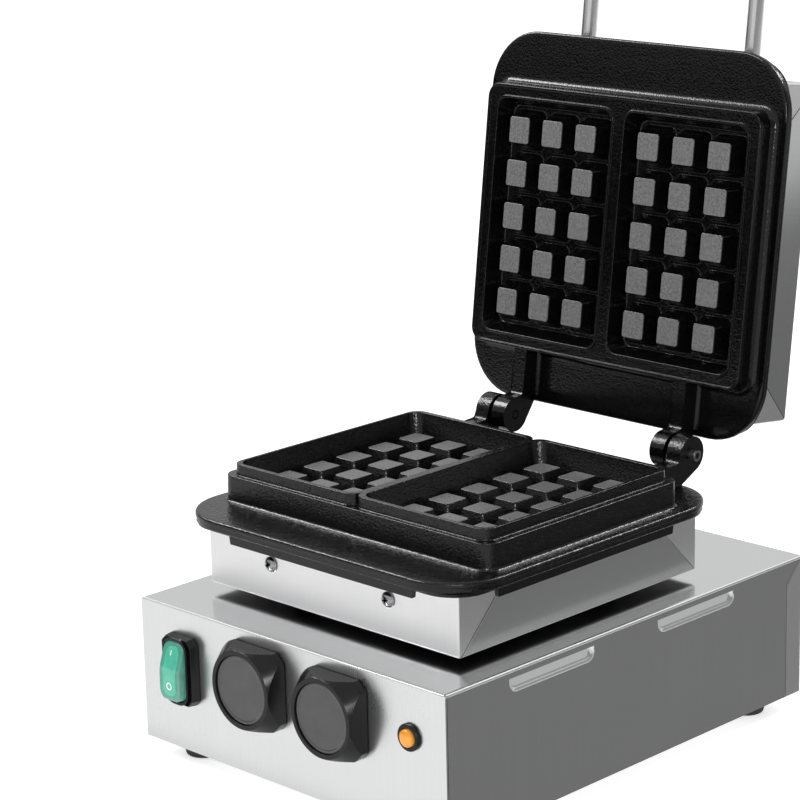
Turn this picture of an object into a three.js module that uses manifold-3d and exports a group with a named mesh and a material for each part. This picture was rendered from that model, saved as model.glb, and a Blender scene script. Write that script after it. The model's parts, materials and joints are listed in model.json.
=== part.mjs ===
// A countertop waffle iron with two cavities, its lid standing open.
// Millimetres, +Z up, +X to the operator's right, +Y to the rear.
// The origin is on the surface the machine stands on, under the middle of its bounding box.
import * as THREE from 'three';
import { mergeVertices } from 'three/addons/utils/BufferGeometryUtils.js';
import Module from 'manifold-3d';

const wasm = await Module();
wasm.setup();

// General
const fitGap = 0.3; // between pieces that rest on or in each other
const overrun = 2; // how far a cut runs past the face that it opens
const sheet = 1.2; // stainless sheet
const arcSides = 4; // facets of a rounded corner
const flangeSides = 8; // facets of the flange's large corners
const roundSides = 18; // facets of a knob, boss or pin
const smallSides = 12; // facets of a screw, bush or spacer
const barSides = 8; // facets of a bent bar
const elementSides = 6; // facets of a heating element

// Cabinet
const cabinetSideMargin = 22.6; // beyond the lower housing on each side
const cabinetRearMargin = 63.7; // behind the castings' flanges
const cabinetHeight = 88;
const coverBend = 3.2; // outer radius of the bend between top and sides
const rearTab = 15.5; // how far the rear panel wraps onto each side
const seamGap = 0.4;
const panelLip = 12; // depth of the front panel's return lips
const louverLength = 72;
const louverHeight = 9;
const louverSink = 4.5; // how far a louver blade leans inwards
const louverBelowTop = 5; // from the cabinet's top down to the slit
const louverFrontY = 86.5; // middle of the front louver
const louverPitch = 127.5;
const ventLength = 60;
const ventWidth = 5;
const ventPitch = 14;
const ventRows = 5;

// Feet
const footHeight = 12;
const footTopRadius = 14;
const footBottomRadius = 11;
const footInset = 24;
const footScrewWell = 4; // depth of the recess that hides the screw's head

// Heater housings
const housingSideInset = 15.2; // inside the flange's edge on each side
const housingFrontInset = 16.8;
const housingRearInset = 11.3;
const housingLift = 4.9; // shadow gap between cabinet and lower housing
const housingHeight = 39.8;
const upperHousingHeight = 40.6;
const mitreGroove = 0.6; // width and depth of the folded seam lines
const spacerRadius = 8;
const spacerInset = 40;
const housingScrewSpread = 96; // between the two screws of a wall
const housingScrewHeight = 22.8; // above the housing's outer face

// Baking pattern
const gridPitch = 27.4;
const gridColumns = 3;
const gridRows = 5;
const blockTop = 16.5; // side of a block's top
const blockDraft = 4.2; // how far a block widens from its top to the floor
const grooveDepth = 11.5;
const cavityMargin = 11.5; // from the outer blocks' tops to the cavity's edge at their level
const cavityCorner = 6;
const dividerWidth = 10.5; // between the two cavities
const lowerBlockDrop = 2.4; // lower block tops below the raised ledge

// Castings
const rimSideWall = 4.55; // from a cavity's edge at the block tops to the rim's outer face
const rimEndWall = 5.2;
const rimHeight = 6.7;
const rimCorner = 8;
const ledgeSide = 4.4; // from the rim's outer face to the raised block's
const ledgeEnd = 3.4;
const raisedHeight = 15.9;
const upperRaisedHeight = 12.5;
const raisedCorner = 9;
const flangeSide = 9.1; // from the raised block's face to the flange's edge
const flangeEnd = 34.1;
const flangeFrontY = 18.8; // from the cabinet's front
const flangeThickness = 6.6;
const flangeCorner = 37;
const brimInset = 4.8; // a low wall under the flange, all the way round
const brimWidth = 2.2;
const brimDrop = 2.4;
const brimCorner = 23;
const skirtInset = 6.4;
const skirtThickness = 3;
const skirtDrop = 7.8;
const skirtFrontEnd = 42.6; // from the flange's side edge to the end of a front or rear skirt
const skirtSideEnd = 41.4; // from the flange's front edge to the end of a side skirt
const skirtShift = 2.5; // of all four skirts towards the front right corner
const closedGap = 0.6; // between the lower rim and the upper land when closed
const channelDepth = 1.2; // shallow channel in the upper land
const channelInset = 1.6;
const channelLip = 1.3;

// Screw bosses inside the housings
const bossWidth = 14;
const bossDepth = 12;
const bossDrop = 27; // below the flange

// Hinge
const openAngle = 97.4; // degrees, as photographed
const hingeBehindFlange = 7.3;
const hingeAboveFlange = 17.3;
const knuckleRadius = 11.2;
const knuckleWidth = 10.5;
const knuckleGap = 3;
const knuckleInset = 33.9; // from the flange's side edge to the outer knuckle's face
const ribProud = 13.5; // height of the lower ribs over the flange
const upperRibProud = 12.3;
const ribNeck = 12; // from the hinge axis forward to the end of the rib's flat top
const ribHeel = 3; // from the flange's rear edge to the foot of the rib's rear face
const pinRadius = 3.5;
const pinBore = 2;
const pinNose = 4.5;

// Heating
const elementRadius = 3.6;
const elementRuns = 3; // bends between its four straight runs
const elementMargin = 26.6; // from the outer runs to the housing's side walls
const elementClearance = 3; // between its bends and the screw bosses
const elementSteps = 38;
const bendShare = 2 / 3; // of a bend's width, from its ends to its curve's control points
const heatPlateThickness = 1.5;
const heatPlateMargin = 14;
const insulationMargin = 4;
const bulbRadius = 3;
const bulbLength = 80;

// Handle on the lid
const handleReach = 71.2; // from the housing's front wall to the grip's axis
const handleBar = 5; // radius of the bent bar
const handleBend = 14;
const handleSteps = 30;
const gripRadius = 13;
const gripEndSpace = 1; // between the grip's ends and the bends
const handlePadWidth = 22;
const handlePadHeight = 24;
const handlePadThickness = 3;
const handlePadSpace = 2; // between a pad and the screw head beside it
const handleStudRadius = 3;
const handleStudTip = 1.5; // how far a stud stands out of its nut
const handleNutSize = 10; // across flats
const handleNutHeight = 4;
const handleBelowTop = 17; // from the lid's outer face to the handle's axis

// Rocker switch
const switchInset = 37; // from the cabinet's left side to the switch's middle
const switchBelowTop = 36.5; // from the cabinet's top to the switch's middle
const bezelWidth = 36;
const bezelHeight = 43.8;
const bezelCorner = 8;
const bezelThickness = 4.5;
const bezelDraft = 1; // how far its sides lean in towards the front
const collarWidth = 26;
const collarHeight = 41;
const collarCorner = 5;
const collarProud = 6.5; // from the panel's face
const rockerWidth = 18.4;
const rockerRadius = 17.6; // of the rounded ends, about the pivot
const rockerProud = 11;
const rockerTilt = 9; // degrees to each side
const rockerPivotProud = 4; // pivot in front of the panel's face
const rockerGap = 0.5;
const switchBodyDepth = 24;

// Rotary controls
const controlStart = 64; // from the switch's middle to the thermostat's
const knobBelowTop = 30.5;
const knobRadius = 29.5; // of the four corners
const knobFlats = 47.2; // across flats
const knobSkirt = 5.5; // from the panel's face to the start of the cone
const knobCapRadius = 23.4;
const knobCapFront = 14.2; // from the panel's face
const knobRunGap = 0.6; // between a knob and what it turns in front of
const knobSpace = 7; // between the two knobs' corners
const knobBoreDepth = 9.5;
const knobRing = 2.8; // width of the raised ring round the dish
const knobDish = 1.6;
const shaftRadius = 3;
const controlBushRadius = 5;
const controlBushFront = 3.4;
const controlNutSize = 13; // across flats
const controlNutHeight = 2.4;
const controlBodyWidth = 34;
const controlBodyHeight = 30;
const controlBodyDepth = 26;

// Pilot lamp
const lampInset = 27; // from the cabinet's right side
const lampRadius = 5.5;
const lampRim = 8;
const lampRimProud = 2;
const lampProud = 5;
const lampBodyDepth = 18;

// Terminal block, gland and lead bushes
const terminalWidth = 60;
const terminalDepth = 22;
const terminalHeight = 18;
const terminalPoles = 5;
const glandInset = 45; // from the cabinet's right side
const glandAboveBottom = 30;
const glandRadius = 8;
const glandHexSize = 24;
const glandHexLength = 6;
const glandLength = 24;
const glandBore = 4.2;
const bushRadius = 7;
const bushFlange = 10;
const bushFlangeThickness = 1.6;
const bushBore = 4.5;

// Fasteners
const screwRadius = 2;
const screwHeadRadius = 4.15;
const screwHeadHeight = 2.2;
const screwLength = 12;
const recessLength = 4.6;
const recessWidth = 1;
const recessDepth = 1.1;

// Sizes and places worked out from them
const cavityWidth = (gridColumns - 1) * gridPitch + blockTop + 2 * cavityMargin;
const cavityLength = (gridRows - 1) * gridPitch + blockTop + 2 * cavityMargin;
const cavityCentreX = (cavityWidth + dividerWidth) / 2;
const rimWidth = 2 * (cavityCentreX + cavityWidth / 2 + rimSideWall);
const rimDepth = cavityLength + 2 * rimEndWall;
const raisedWidth = rimWidth + 2 * ledgeSide;
const raisedDepth = rimDepth + 2 * ledgeEnd;
const flangeWidth = raisedWidth + 2 * flangeSide;
const flangeDepth = raisedDepth + 2 * flangeEnd;
const skirtWidth = flangeWidth - 2 * skirtFrontEnd;
const skirtDepth = flangeDepth - 2 * skirtSideEnd;
const housingWidth = flangeWidth - 2 * housingSideInset;
const housingFrontY = flangeFrontY + housingFrontInset;
const housingRearY = flangeFrontY + flangeDepth - housingRearInset;
const housingDepth = housingRearY - housingFrontY;
const cabinetWidth = housingWidth + 2 * cabinetSideMargin;
const cabinetDepth = flangeFrontY + flangeDepth + cabinetRearMargin;
const halfWidth = cabinetWidth / 2;
const elementRun = (housingWidth - 2 * elementMargin) / elementRuns;
const elementEnd = sheet + bossDepth + elementClearance + elementRadius + elementRun / 2;
const elementLength = housingDepth - 2 * elementEnd;
const cabinetBottom = footHeight;
const cabinetTop = footHeight + cabinetHeight;
const housingBottom = cabinetTop + housingLift;
const flangeBottom = housingBottom + housingHeight + fitGap;
const flangeTop = flangeBottom + flangeThickness;
const rimTop = flangeTop + raisedHeight + rimHeight;
const upperLand = rimTop + closedGap;
const upperFlangeFace = upperLand + upperRaisedHeight;
const upperFlangeBack = upperFlangeFace + flangeThickness;
const upperHousingStart = upperFlangeBack + fitGap;
const lidTop = upperHousingStart + upperHousingHeight;
const plateY = flangeFrontY + flangeDepth / 2;
const housingY = housingFrontY + housingDepth / 2;
const knuckleOuterX = flangeWidth / 2 - knuckleInset;
const hingeY = flangeFrontY + flangeDepth + hingeBehindFlange;
const hingeZ = flangeTop + hingeAboveFlange;
const elementSpace = 2 * elementRadius + 2 * fitGap;
const handleSpread = housingScrewSpread + handlePadWidth + 2 * (screwHeadRadius + handlePadSpace);
const gripLength = handleSpread - 2 * (handleBend + gripEndSpace);
const handleNutStart = 2 * fitGap + sheet; // from the pads' backs through the housing wall
const switchX = switchInset - halfWidth;
const thermostatX = switchX + controlStart;
const timerX = thermostatX + 2 * knobRadius + knobSpace;
const lampX = halfWidth - lampInset;
const glandX = halfWidth - glandInset;

// Materials
function finish(color, roughness, metalness) {
  return new THREE.MeshStandardMaterial({ color, roughness, metalness });
}
const stainless = finish('#c9cacb', 0.35, 1);
const castIron = finish('#1b1b1c', 0.45, 0.3);
const screwSteel = finish('#d8d8da', 0.2, 1);
const pinSteel = finish('#2a2a2c', 0.4, 0.8);
const blackPlastic = finish('#161617', 0.4, 0);
const greenLens = finish('#17a874', 0.15, 0);
const amberLens = finish('#e08a1c', 0.15, 0);
const rubber = finish('#1d1d1d', 0.8, 0);
const aluminium = finish('#b9bcc0', 0.45, 1);
const elementSteel = finish('#6f6a66', 0.5, 1);
const insulationFelt = finish('#e6e0d2', 0.95, 0);
const ceramic = finish('#efece4', 0.5, 0);
const brass = finish('#c2a45a', 0.3, 1);

// Solids: geometries are joined and cut as closed solids
function solidOf(geometry) {
  const bare = geometry.clone();
  bare.deleteAttribute('normal');
  bare.deleteAttribute('uv');
  const merged = mergeVertices(bare);
  return new wasm.Manifold(new wasm.Mesh({
    numProp: 3,
    vertProperties: new Float32Array(merged.attributes.position.array),
    triVerts: new Uint32Array(merged.index.array),
  }));
}

function geometryOf(solid) {
  const mesh = solid.getMesh();
  const geometry = new THREE.BufferGeometry();
  geometry.setAttribute('position', new THREE.BufferAttribute(mesh.vertProperties, mesh.numProp));
  geometry.setIndex(new THREE.BufferAttribute(mesh.triVerts, 1));
  const faceted = geometry.toNonIndexed();
  faceted.computeVertexNormals();
  return faceted;
}

function join(...geometries) {
  return geometryOf(geometries.map(solidOf).reduce((sum, next) => sum.add(next)));
}

function cut(geometry, ...tools) {
  return geometryOf(tools.map(solidOf).reduce((rest, tool) => rest.subtract(tool), solidOf(geometry)));
}

function intersect(geometry, other) {
  return geometryOf(solidOf(geometry).intersect(solidOf(other)));
}

// Basic forms
function box([x0, x1], [y0, y1], [z0, z1]) {
  const geometry = new THREE.BoxGeometry(x1 - x0, y1 - y0, z1 - z0);
  return geometry.translate((x0 + x1) / 2, (y0 + y1) / 2, (z0 + z1) / 2);
}

function roundedRect(width, height, radius) {
  const [w, h] = [width / 2, height / 2];
  const r = Math.min(radius, w, h);
  const shape = new THREE.Shape();
  shape.moveTo(-w + r, -h);
  shape.lineTo(w - r, -h);
  shape.absarc(w - r, -h + r, r, -Math.PI / 2, 0);
  shape.lineTo(w, h - r);
  shape.absarc(w - r, h - r, r, 0, Math.PI / 2);
  shape.lineTo(-w + r, h);
  shape.absarc(-w + r, h - r, r, Math.PI / 2, Math.PI);
  shape.lineTo(-w, -h + r);
  shape.absarc(-w + r, -h + r, r, Math.PI, 1.5 * Math.PI);
  return shape;
}

function polygon(points) {
  return new THREE.Shape(points.map(([x, y]) => new THREE.Vector2(x, y)));
}

function circle(radius) {
  return new THREE.Shape().absarc(0, 0, radius, 0, 2 * Math.PI);
}

function extrude(shape, depth, sides) {
  return new THREE.ExtrudeGeometry(shape, { depth, bevelEnabled: false, curveSegments: sides / 2 });
}

// A shape drawn in X and Y, standing from z0 to z1
function upright(shape, [z0, z1], sides = arcSides) {
  return extrude(shape, z1 - z0, sides).translate(0, 0, z0);
}

// A shape drawn in Y and Z, reaching from x0 to x1
function alongX(shape, [x0, x1], sides = arcSides) {
  const turn = new THREE.Matrix4().makeBasis(
    new THREE.Vector3(0, 1, 0), new THREE.Vector3(0, 0, 1), new THREE.Vector3(1, 0, 0));
  return extrude(shape, x1 - x0, sides).applyMatrix4(turn).translate(x0, 0, 0);
}

// A shape drawn in X and Z, reaching from y0 to y1
function alongY(shape, [y0, y1], sides = arcSides) {
  return extrude(shape, y1 - y0, sides).rotateX(Math.PI / 2).translate(0, y1, 0);
}

// A solid of revolution about Z from its outline of radius and height
function turned(outline, sides = roundSides) {
  const points = outline.map(([r, z]) => new THREE.Vector2(r, z));
  return new THREE.LatheGeometry(points, sides).rotateX(Math.PI / 2);
}

// Widens the top of an upright solid by the same amount on every side
function drafted(geometry, [z0, z1], growth) {
  const points = geometry.attributes.position;
  for (let i = 0; i < points.count; i += 1) {
    const share = (points.getZ(i) - z0) / (z1 - z0);
    points.setX(i, points.getX(i) + Math.sign(points.getX(i)) * growth * share);
    points.setY(i, points.getY(i) + Math.sign(points.getY(i)) * growth * share);
  }
  return geometry;
}

function hexagon(acrossFlats) {
  const radius = acrossFlats / Math.sqrt(3);
  const corner = (i) => [radius * Math.cos(i * Math.PI / 3), radius * Math.sin(i * Math.PI / 3)];
  return polygon([0, 1, 2, 3, 4, 5].map(corner));
}

// The machine: the lid turns about the hinge axis, all else stands still
const machine = new THREE.Group();
const hinge = new THREE.Group();
const lid = new THREE.Group();
hinge.position.set(0, hingeY, hingeZ);
hinge.rotation.x = -THREE.MathUtils.degToRad(openAngle);
lid.position.set(0, -hingeY, -hingeZ);
hinge.add(lid);
machine.add(hinge);

function place(parent, name, geometry, material, [x, y, z] = [0, 0, 0]) {
  const mesh = new THREE.Mesh(geometry, material);
  mesh.name = name;
  mesh.position.set(x, y, z);
  parent.add(mesh);
  return mesh;
}

// Screws

// A pan-head screw with a cross recess, its head's seat at z 0 and its shank below
function panScrew(length) {
  const dome = screwHeadRadius * Math.SQRT1_2;
  const screw = turned([
    [0, -length], [screwRadius, -length], [screwRadius, 0], [screwHeadRadius, 0],
    [screwHeadRadius, screwHeadHeight / 2], [dome, screwHeadHeight], [0, screwHeadHeight],
  ], smallSides);
  const recessZ = [screwHeadHeight - recessDepth, screwHeadHeight + overrun];
  const slot = [-recessLength / 2, recessLength / 2];
  const cross = [-recessWidth / 2, recessWidth / 2];
  return cut(screw, box(slot, cross, recessZ), box(cross, slot, recessZ));
}

function screwHole(length) {
  const hole = screwRadius + fitGap;
  return turned([[0, -length], [hole, -length], [hole, overrun], [0, overrun]], smallSides);
}

// A hole through a level sheet whose lower face is at z 0
function leadHole(radius) {
  return upright(circle(radius + fitGap), [-overrun, sheet + overrun], roundSides);
}

// Cabinet
function louverPlaces() {
  const places = [];
  for (const side of [-1, 1]) {
    for (const y of [louverFrontY, louverFrontY + louverPitch]) {
      places.push({ side, y });
    }
  }
  return places;
}

function louverSlot(y) {
  const middle = cabinetTop - louverBelowTop - louverHeight / 2;
  const slot = roundedRect(louverLength, louverHeight, louverHeight / 2);
  return alongX(slot, [-halfWidth - overrun, -halfWidth + sheet + overrun])
    .translate(0, y, middle);
}

// The blade starts at the slot's lower edge and leans into the cabinet
function louverBlade(y) {
  const low = cabinetTop - louverBelowTop - louverHeight;
  const outer = -halfWidth;
  const blade = polygon([
    [outer, low - sheet], [outer + sheet, low - sheet],
    [outer + louverSink + sheet, low + louverHeight], [outer + louverSink, low + louverHeight],
    [outer, low + sheet],
  ]);
  const reach = (louverLength - louverHeight) / 2;
  return alongY(blade, [y - reach, y + reach]);
}

function coverProfile() {
  const inner = coverBend - sheet;
  const shape = new THREE.Shape();
  shape.moveTo(-halfWidth, cabinetBottom);
  shape.lineTo(-halfWidth + sheet, cabinetBottom);
  shape.lineTo(-halfWidth + sheet, cabinetTop - coverBend);
  shape.absarc(-halfWidth + coverBend, cabinetTop - coverBend, inner, Math.PI, Math.PI / 2, true);
  shape.lineTo(halfWidth - coverBend, cabinetTop - sheet);
  shape.absarc(halfWidth - coverBend, cabinetTop - coverBend, inner, Math.PI / 2, 0, true);
  shape.lineTo(halfWidth - sheet, cabinetBottom);
  shape.lineTo(halfWidth, cabinetBottom);
  shape.lineTo(halfWidth, cabinetTop - coverBend);
  shape.absarc(halfWidth - coverBend, cabinetTop - coverBend, coverBend, 0, Math.PI / 2);
  shape.lineTo(-halfWidth + coverBend, cabinetTop);
  shape.absarc(-halfWidth + coverBend, cabinetTop - coverBend, coverBend, Math.PI / 2, Math.PI);
  return shape;
}

function tabOutline(inset) {
  const front = cabinetDepth - rearTab + inset;
  return polygon([
    [front, cabinetBottom - overrun], [cabinetDepth + overrun, cabinetBottom - overrun],
    [cabinetDepth + overrun, cabinetTop + overrun - inset], [cabinetDepth - inset, cabinetTop - inset],
    [front, cabinetTop - rearTab - inset],
  ]);
}

function baseCover() {
  const shell = alongY(coverProfile(), [sheet + fitGap, cabinetDepth - sheet - fitGap]);
  const tabs = alongX(tabOutline(0), [-halfWidth - overrun, -halfWidth + sheet + overrun]);
  const bushHole = leadHole(bushRadius).translate(0, housingY, cabinetTop - sheet);
  const slots = [];
  const blades = [];
  for (const { side, y } of louverPlaces()) {
    const turn = side > 0 ? Math.PI : 0;
    const turned180 = (geometry) => geometry.rotateZ(turn);
    slots.push(turned180(louverSlot(side > 0 ? -y : y)));
    blades.push(turned180(louverBlade(side > 0 ? -y : y)));
  }
  const otherTabs = alongX(tabOutline(0), [halfWidth - sheet - overrun, halfWidth + overrun]);
  return join(cut(shell, tabs, otherTabs, bushHole, ...slots), ...blades);
}

function frontPanel() {
  const y = [0, sheet];
  const plate = box([-halfWidth, halfWidth], y, [cabinetBottom, cabinetTop]);
  const lipX = halfWidth - sheet - fitGap;
  const lips = [-1, 1].map((side) => box(
    [side * lipX, side * (lipX - sheet)].sort((a, b) => a - b), [0, panelLip],
    [cabinetBottom + sheet + 2 * fitGap, cabinetTop - coverBend - fitGap]));
  const through = [-overrun, sheet + overrun];
  const collarRoom = roundedRect(collarWidth - 2 * sheet, collarHeight - 2 * sheet, collarCorner);
  const switchHole = alongY(collarRoom, through)
    .translate(switchX, 0, cabinetTop - switchBelowTop);
  const round = (radius) => alongY(circle(radius + fitGap), through, roundSides);
  const controls = [thermostatX, timerX].map(
    (x) => round(controlBushRadius).translate(x, 0, cabinetTop - knobBelowTop));
  const lamp = round(lampRadius).translate(lampX, 0, cabinetTop - knobBelowTop);
  return cut(join(plate, ...lips), switchHole, ...controls, lamp);
}

function rearPanel() {
  const plate = box(
    [-halfWidth, halfWidth], [cabinetDepth - sheet, cabinetDepth], [cabinetBottom, cabinetTop]);
  const strip = [cabinetDepth - rearTab - overrun, cabinetDepth];
  const tabs = [[-halfWidth, -halfWidth + sheet], [halfWidth - sheet, halfWidth]].map((x) => intersect(
    box(x, strip, [cabinetBottom, cabinetTop]),
    alongX(tabOutline(seamGap), [x[0] - overrun, x[1] + overrun])));
  const through = [cabinetDepth - sheet - overrun, cabinetDepth + overrun];
  const middle = (cabinetBottom + cabinetTop) / 2;
  const vents = [];
  for (let row = 0; row < ventRows; row += 1) {
    const height = middle + (row - (ventRows - 1) / 2) * ventPitch;
    vents.push(alongY(roundedRect(ventLength, ventWidth, ventWidth / 2), through)
      .translate(-glandX / 2, 0, height));
  }
  const gland = alongY(circle(glandRadius + fitGap), through, roundSides)
    .translate(glandX, 0, cabinetBottom + glandAboveBottom);
  return cut(join(plate, ...tabs), ...vents, gland);
}

function footPlaces() {
  const x = halfWidth - footInset;
  return [
    ['front_left', -x, footInset], ['front_right', x, footInset],
    ['rear_left', -x, cabinetDepth - footInset], ['rear_right', x, cabinetDepth - footInset],
  ];
}

function bottomPlate() {
  const side = halfWidth - sheet - fitGap;
  const plate = box([-side, side], [sheet + fitGap, cabinetDepth - sheet - fitGap],
    [cabinetBottom, cabinetBottom + sheet]);
  const holes = footPlaces().map(
    ([, x, y]) => screwHole(sheet + overrun).translate(x, y, cabinetBottom + sheet));
  const vents = [];
  for (let row = 0; row < ventRows; row += 1) {
    const y = cabinetDepth / 2 + (row - (ventRows - 1) / 2) * ventPitch;
    vents.push(upright(roundedRect(ventLength, ventWidth, ventWidth / 2),
      [cabinetBottom - overrun, cabinetBottom + sheet + overrun]).translate(0, y, 0));
  }
  return cut(plate, ...holes, ...vents);
}

function foot() {
  const hole = screwRadius + fitGap;
  const well = screwHeadRadius + fitGap;
  const top = footHeight - fitGap;
  return turned([
    [well, 0], [footBottomRadius, 0], [footTopRadius, top], [hole, top], [hole, footScrewWell],
    [well, footScrewWell], [well, 0],
  ]);
}

place(machine, 'base_cover', baseCover(), stainless);
place(machine, 'front_panel', frontPanel(), stainless);
place(machine, 'rear_panel', rearPanel(), stainless);
place(machine, 'bottom_plate', bottomPlate(), stainless);
for (const [name, x, y] of footPlaces()) {
  place(machine, `foot_${name}`, foot(), rubber, [x, y, 0]);
  const screw = panScrew(footHeight - footScrewWell + sheet).rotateX(Math.PI);
  place(machine, `foot_screw_${name}`, screw, screwSteel, [x, y, footScrewWell - fitGap]);
}

// Heater housings: folded trays, drawn open side up with their outer bottom at z 0
function mitreSeam(height) {
  const reach = height * Math.SQRT2;
  const [w, d] = [housingWidth / 2, housingDepth / 2];
  const seams = [];
  for (const side of [-1, 1]) {
    for (const end of [-1, 1]) {
      const groove = box([-mitreGroove, mitreGroove], [-mitreGroove / 2, mitreGroove / 2],
        [-overrun, reach + overrun]);
      seams.push(groove.rotateX(end * Math.PI / 4).translate(side * w, end * d, 0));
    }
  }
  return seams;
}

function housingTray(height) {
  const [w, d] = [housingWidth / 2, housingDepth / 2];
  const outer = box([-w, w], [-d, d], [0, height]);
  const inner = box([-w + sheet, w - sheet], [-d + sheet, d - sheet], [sheet, height + overrun]);
  const holes = [];
  for (const end of [-1, 1]) {
    for (const x of [-housingScrewSpread / 2, housingScrewSpread / 2]) {
      holes.push(screwHole(screwLength).rotateX(-end * Math.PI / 2)
        .translate(x, end * d, housingScrewHeight));
    }
  }
  return cut(cut(outer, inner), ...mitreSeam(height), ...holes);
}

const lowerHousing = cut(housingTray(housingHeight), leadHole(bushRadius));
place(machine, 'lower_housing', lowerHousing, stainless, [0, housingY, housingBottom]);

const wallSpan = [-housingDepth / 2 - overrun, -housingDepth / 2 + sheet + overrun];
const handleHoles = [-1, 1].map((side) => alongY(circle(handleStudRadius + fitGap), wallSpan, smallSides)
  .translate(side * handleSpread / 2, 0, handleBelowTop));
const rearLeadHole = alongY(circle(bushRadius + fitGap),
  [housingDepth / 2 - sheet - overrun, housingDepth / 2 + overrun], roundSides)
  .translate(0, 0, upperHousingHeight / 2);
const upperHousing = cut(housingTray(upperHousingHeight), ...handleHoles, rearLeadHole);
place(lid, 'upper_housing', upperHousing.rotateY(Math.PI), stainless, [0, housingY, lidTop]);

function spacer() {
  const hole = screwRadius + fitGap;
  const [low, high] = [fitGap, housingLift - fitGap];
  return turned([
    [hole, low], [spacerRadius, low], [spacerRadius, high], [hole, high], [hole, low],
  ], smallSides);
}

for (const [name, side, end] of [
  ['front_left', -1, -1], ['front_right', 1, -1], ['rear_left', -1, 1], ['rear_right', 1, 1],
]) {
  const x = side * (housingWidth / 2 - spacerInset);
  const y = housingY + end * (housingDepth / 2 - spacerInset);
  place(machine, `spacer_${name}`, spacer(), rubber, [x, y, cabinetTop]);
}

// Castings, drawn with the flange's face at z 0 and the baking side up
function bakingBlocks(centreX, topZ) {
  const blocks = [];
  const base = blockTop + 2 * blockDraft;
  const floorZ = topZ - grooveDepth;
  for (let column = 0; column < gridColumns; column += 1) {
    for (let row = 0; row < gridRows; row += 1) {
      const x = centreX + (column - (gridColumns - 1) / 2) * gridPitch;
      const y = (row - (gridRows - 1) / 2) * gridPitch;
      const block = box([-base / 2, base / 2], [-base / 2, base / 2], [floorZ, topZ]);
      const root = box([-base / 2, base / 2], [-base / 2, base / 2], [floorZ - channelDepth, floorZ]);
      blocks.push(join(drafted(block, [floorZ, topZ], -blockDraft), root).translate(x, y, 0));
    }
  }
  return blocks;
}

// A cavity's pocket, widening from its floor to the top of what it is cut into
function cavityPocket(centreX, blockTopZ, openZ) {
  const floorZ = blockTopZ - grooveDepth;
  const slope = blockDraft / grooveDepth;
  const [w, l] = [cavityWidth - 2 * blockDraft, cavityLength - 2 * blockDraft];
  const topZ = openZ + overrun;
  const pocket = upright(roundedRect(w, l, cavityCorner), [floorZ, topZ]);
  return drafted(pocket, [floorZ, topZ], slope * (topZ - floorZ)).translate(centreX, 0, 0);
}

function tangentPoint([px, py], [cx, cy], radius, side) {
  const [dx, dy] = [px - cx, py - cy];
  const distance = Math.hypot(dx, dy);
  const angle = Math.atan2(dy, dx) + side * Math.acos(radius / distance);
  return [cx + radius * Math.cos(angle), cy + radius * Math.sin(angle)];
}

// A hinge rib from the raised block's wall over the flange's rear edge to its knuckle
function hingeRib(x, axisY, axisZ, proud) {
  const wall = raisedDepth / 2 - overrun;
  const sunk = -flangeThickness / 2;
  const edge = flangeDepth / 2;
  const neck = axisY - ribNeck;
  const axis = [axisY, axisZ];
  const rib = polygon([
    [wall, sunk], [edge - ribHeel, sunk], [edge - ribHeel, 0],
    tangentPoint([edge - ribHeel, 0], axis, knuckleRadius, 1), axis,
    tangentPoint([neck, proud], axis, knuckleRadius, -1), [neck, proud], [wall, proud],
  ]);
  const knuckle = alongX(circle(knuckleRadius), x, roundSides).translate(0, axisY, axisZ);
  const bore = alongX(circle(pinRadius + 2 * fitGap), [x[0] - overrun, x[1] + overrun], roundSides)
    .translate(0, axisY, axisZ);
  return { solid: join(alongX(rib, x), knuckle), bore };
}

function brim() {
  const z = [-flangeThickness - brimDrop, -flangeThickness / 2];
  const ring = (inset, corner, span) => upright(
    roundedRect(flangeWidth - 2 * inset, flangeDepth - 2 * inset, corner), span, flangeSides);
  const inner = ring(brimInset + brimWidth, brimCorner - brimWidth, [z[0] - overrun, z[1] + overrun]);
  return cut(ring(brimInset, brimCorner, z), inner);
}

function skirtWalls() {
  const z = [-flangeThickness - skirtDrop, -flangeThickness / 2];
  const [w, d] = [flangeWidth / 2 - skirtInset, flangeDepth / 2 - skirtInset];
  const walls = [];
  for (const side of [-1, 1]) {
    const spanY = [side * d, side * (d - skirtThickness)].sort((a, b) => a - b);
    const spanX = [side * w, side * (w - skirtThickness)].sort((a, b) => a - b);
    walls.push(box([skirtShift - skirtWidth / 2, skirtShift + skirtWidth / 2], spanY, z));
    walls.push(box(spanX, [-skirtShift - skirtDepth / 2, skirtDepth / 2 - skirtShift], z));
  }
  return walls;
}

// Bosses that stand behind the housing's front and rear walls and take its screws
function screwBosses(flangeToHousingFace) {
  const bosses = [];
  const holes = [];
  const shift = housingY - plateY;
  const holeZ = -flangeThickness - (flangeToHousingFace - housingScrewHeight);
  for (const end of [-1, 1]) {
    const face = shift + end * (housingDepth / 2 - sheet - fitGap);
    const spanY = [face, face - end * bossDepth].sort((a, b) => a - b);
    for (const x of [-housingScrewSpread / 2, housingScrewSpread / 2]) {
      bosses.push(box([x - bossWidth / 2, x + bossWidth / 2], spanY,
        [-flangeThickness - bossDrop, -flangeThickness / 2]));
      holes.push(screwHole(screwLength + overrun).rotateX(-end * Math.PI / 2).translate(x, face, holeZ));
    }
  }
  return { bosses, holes };
}

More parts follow.
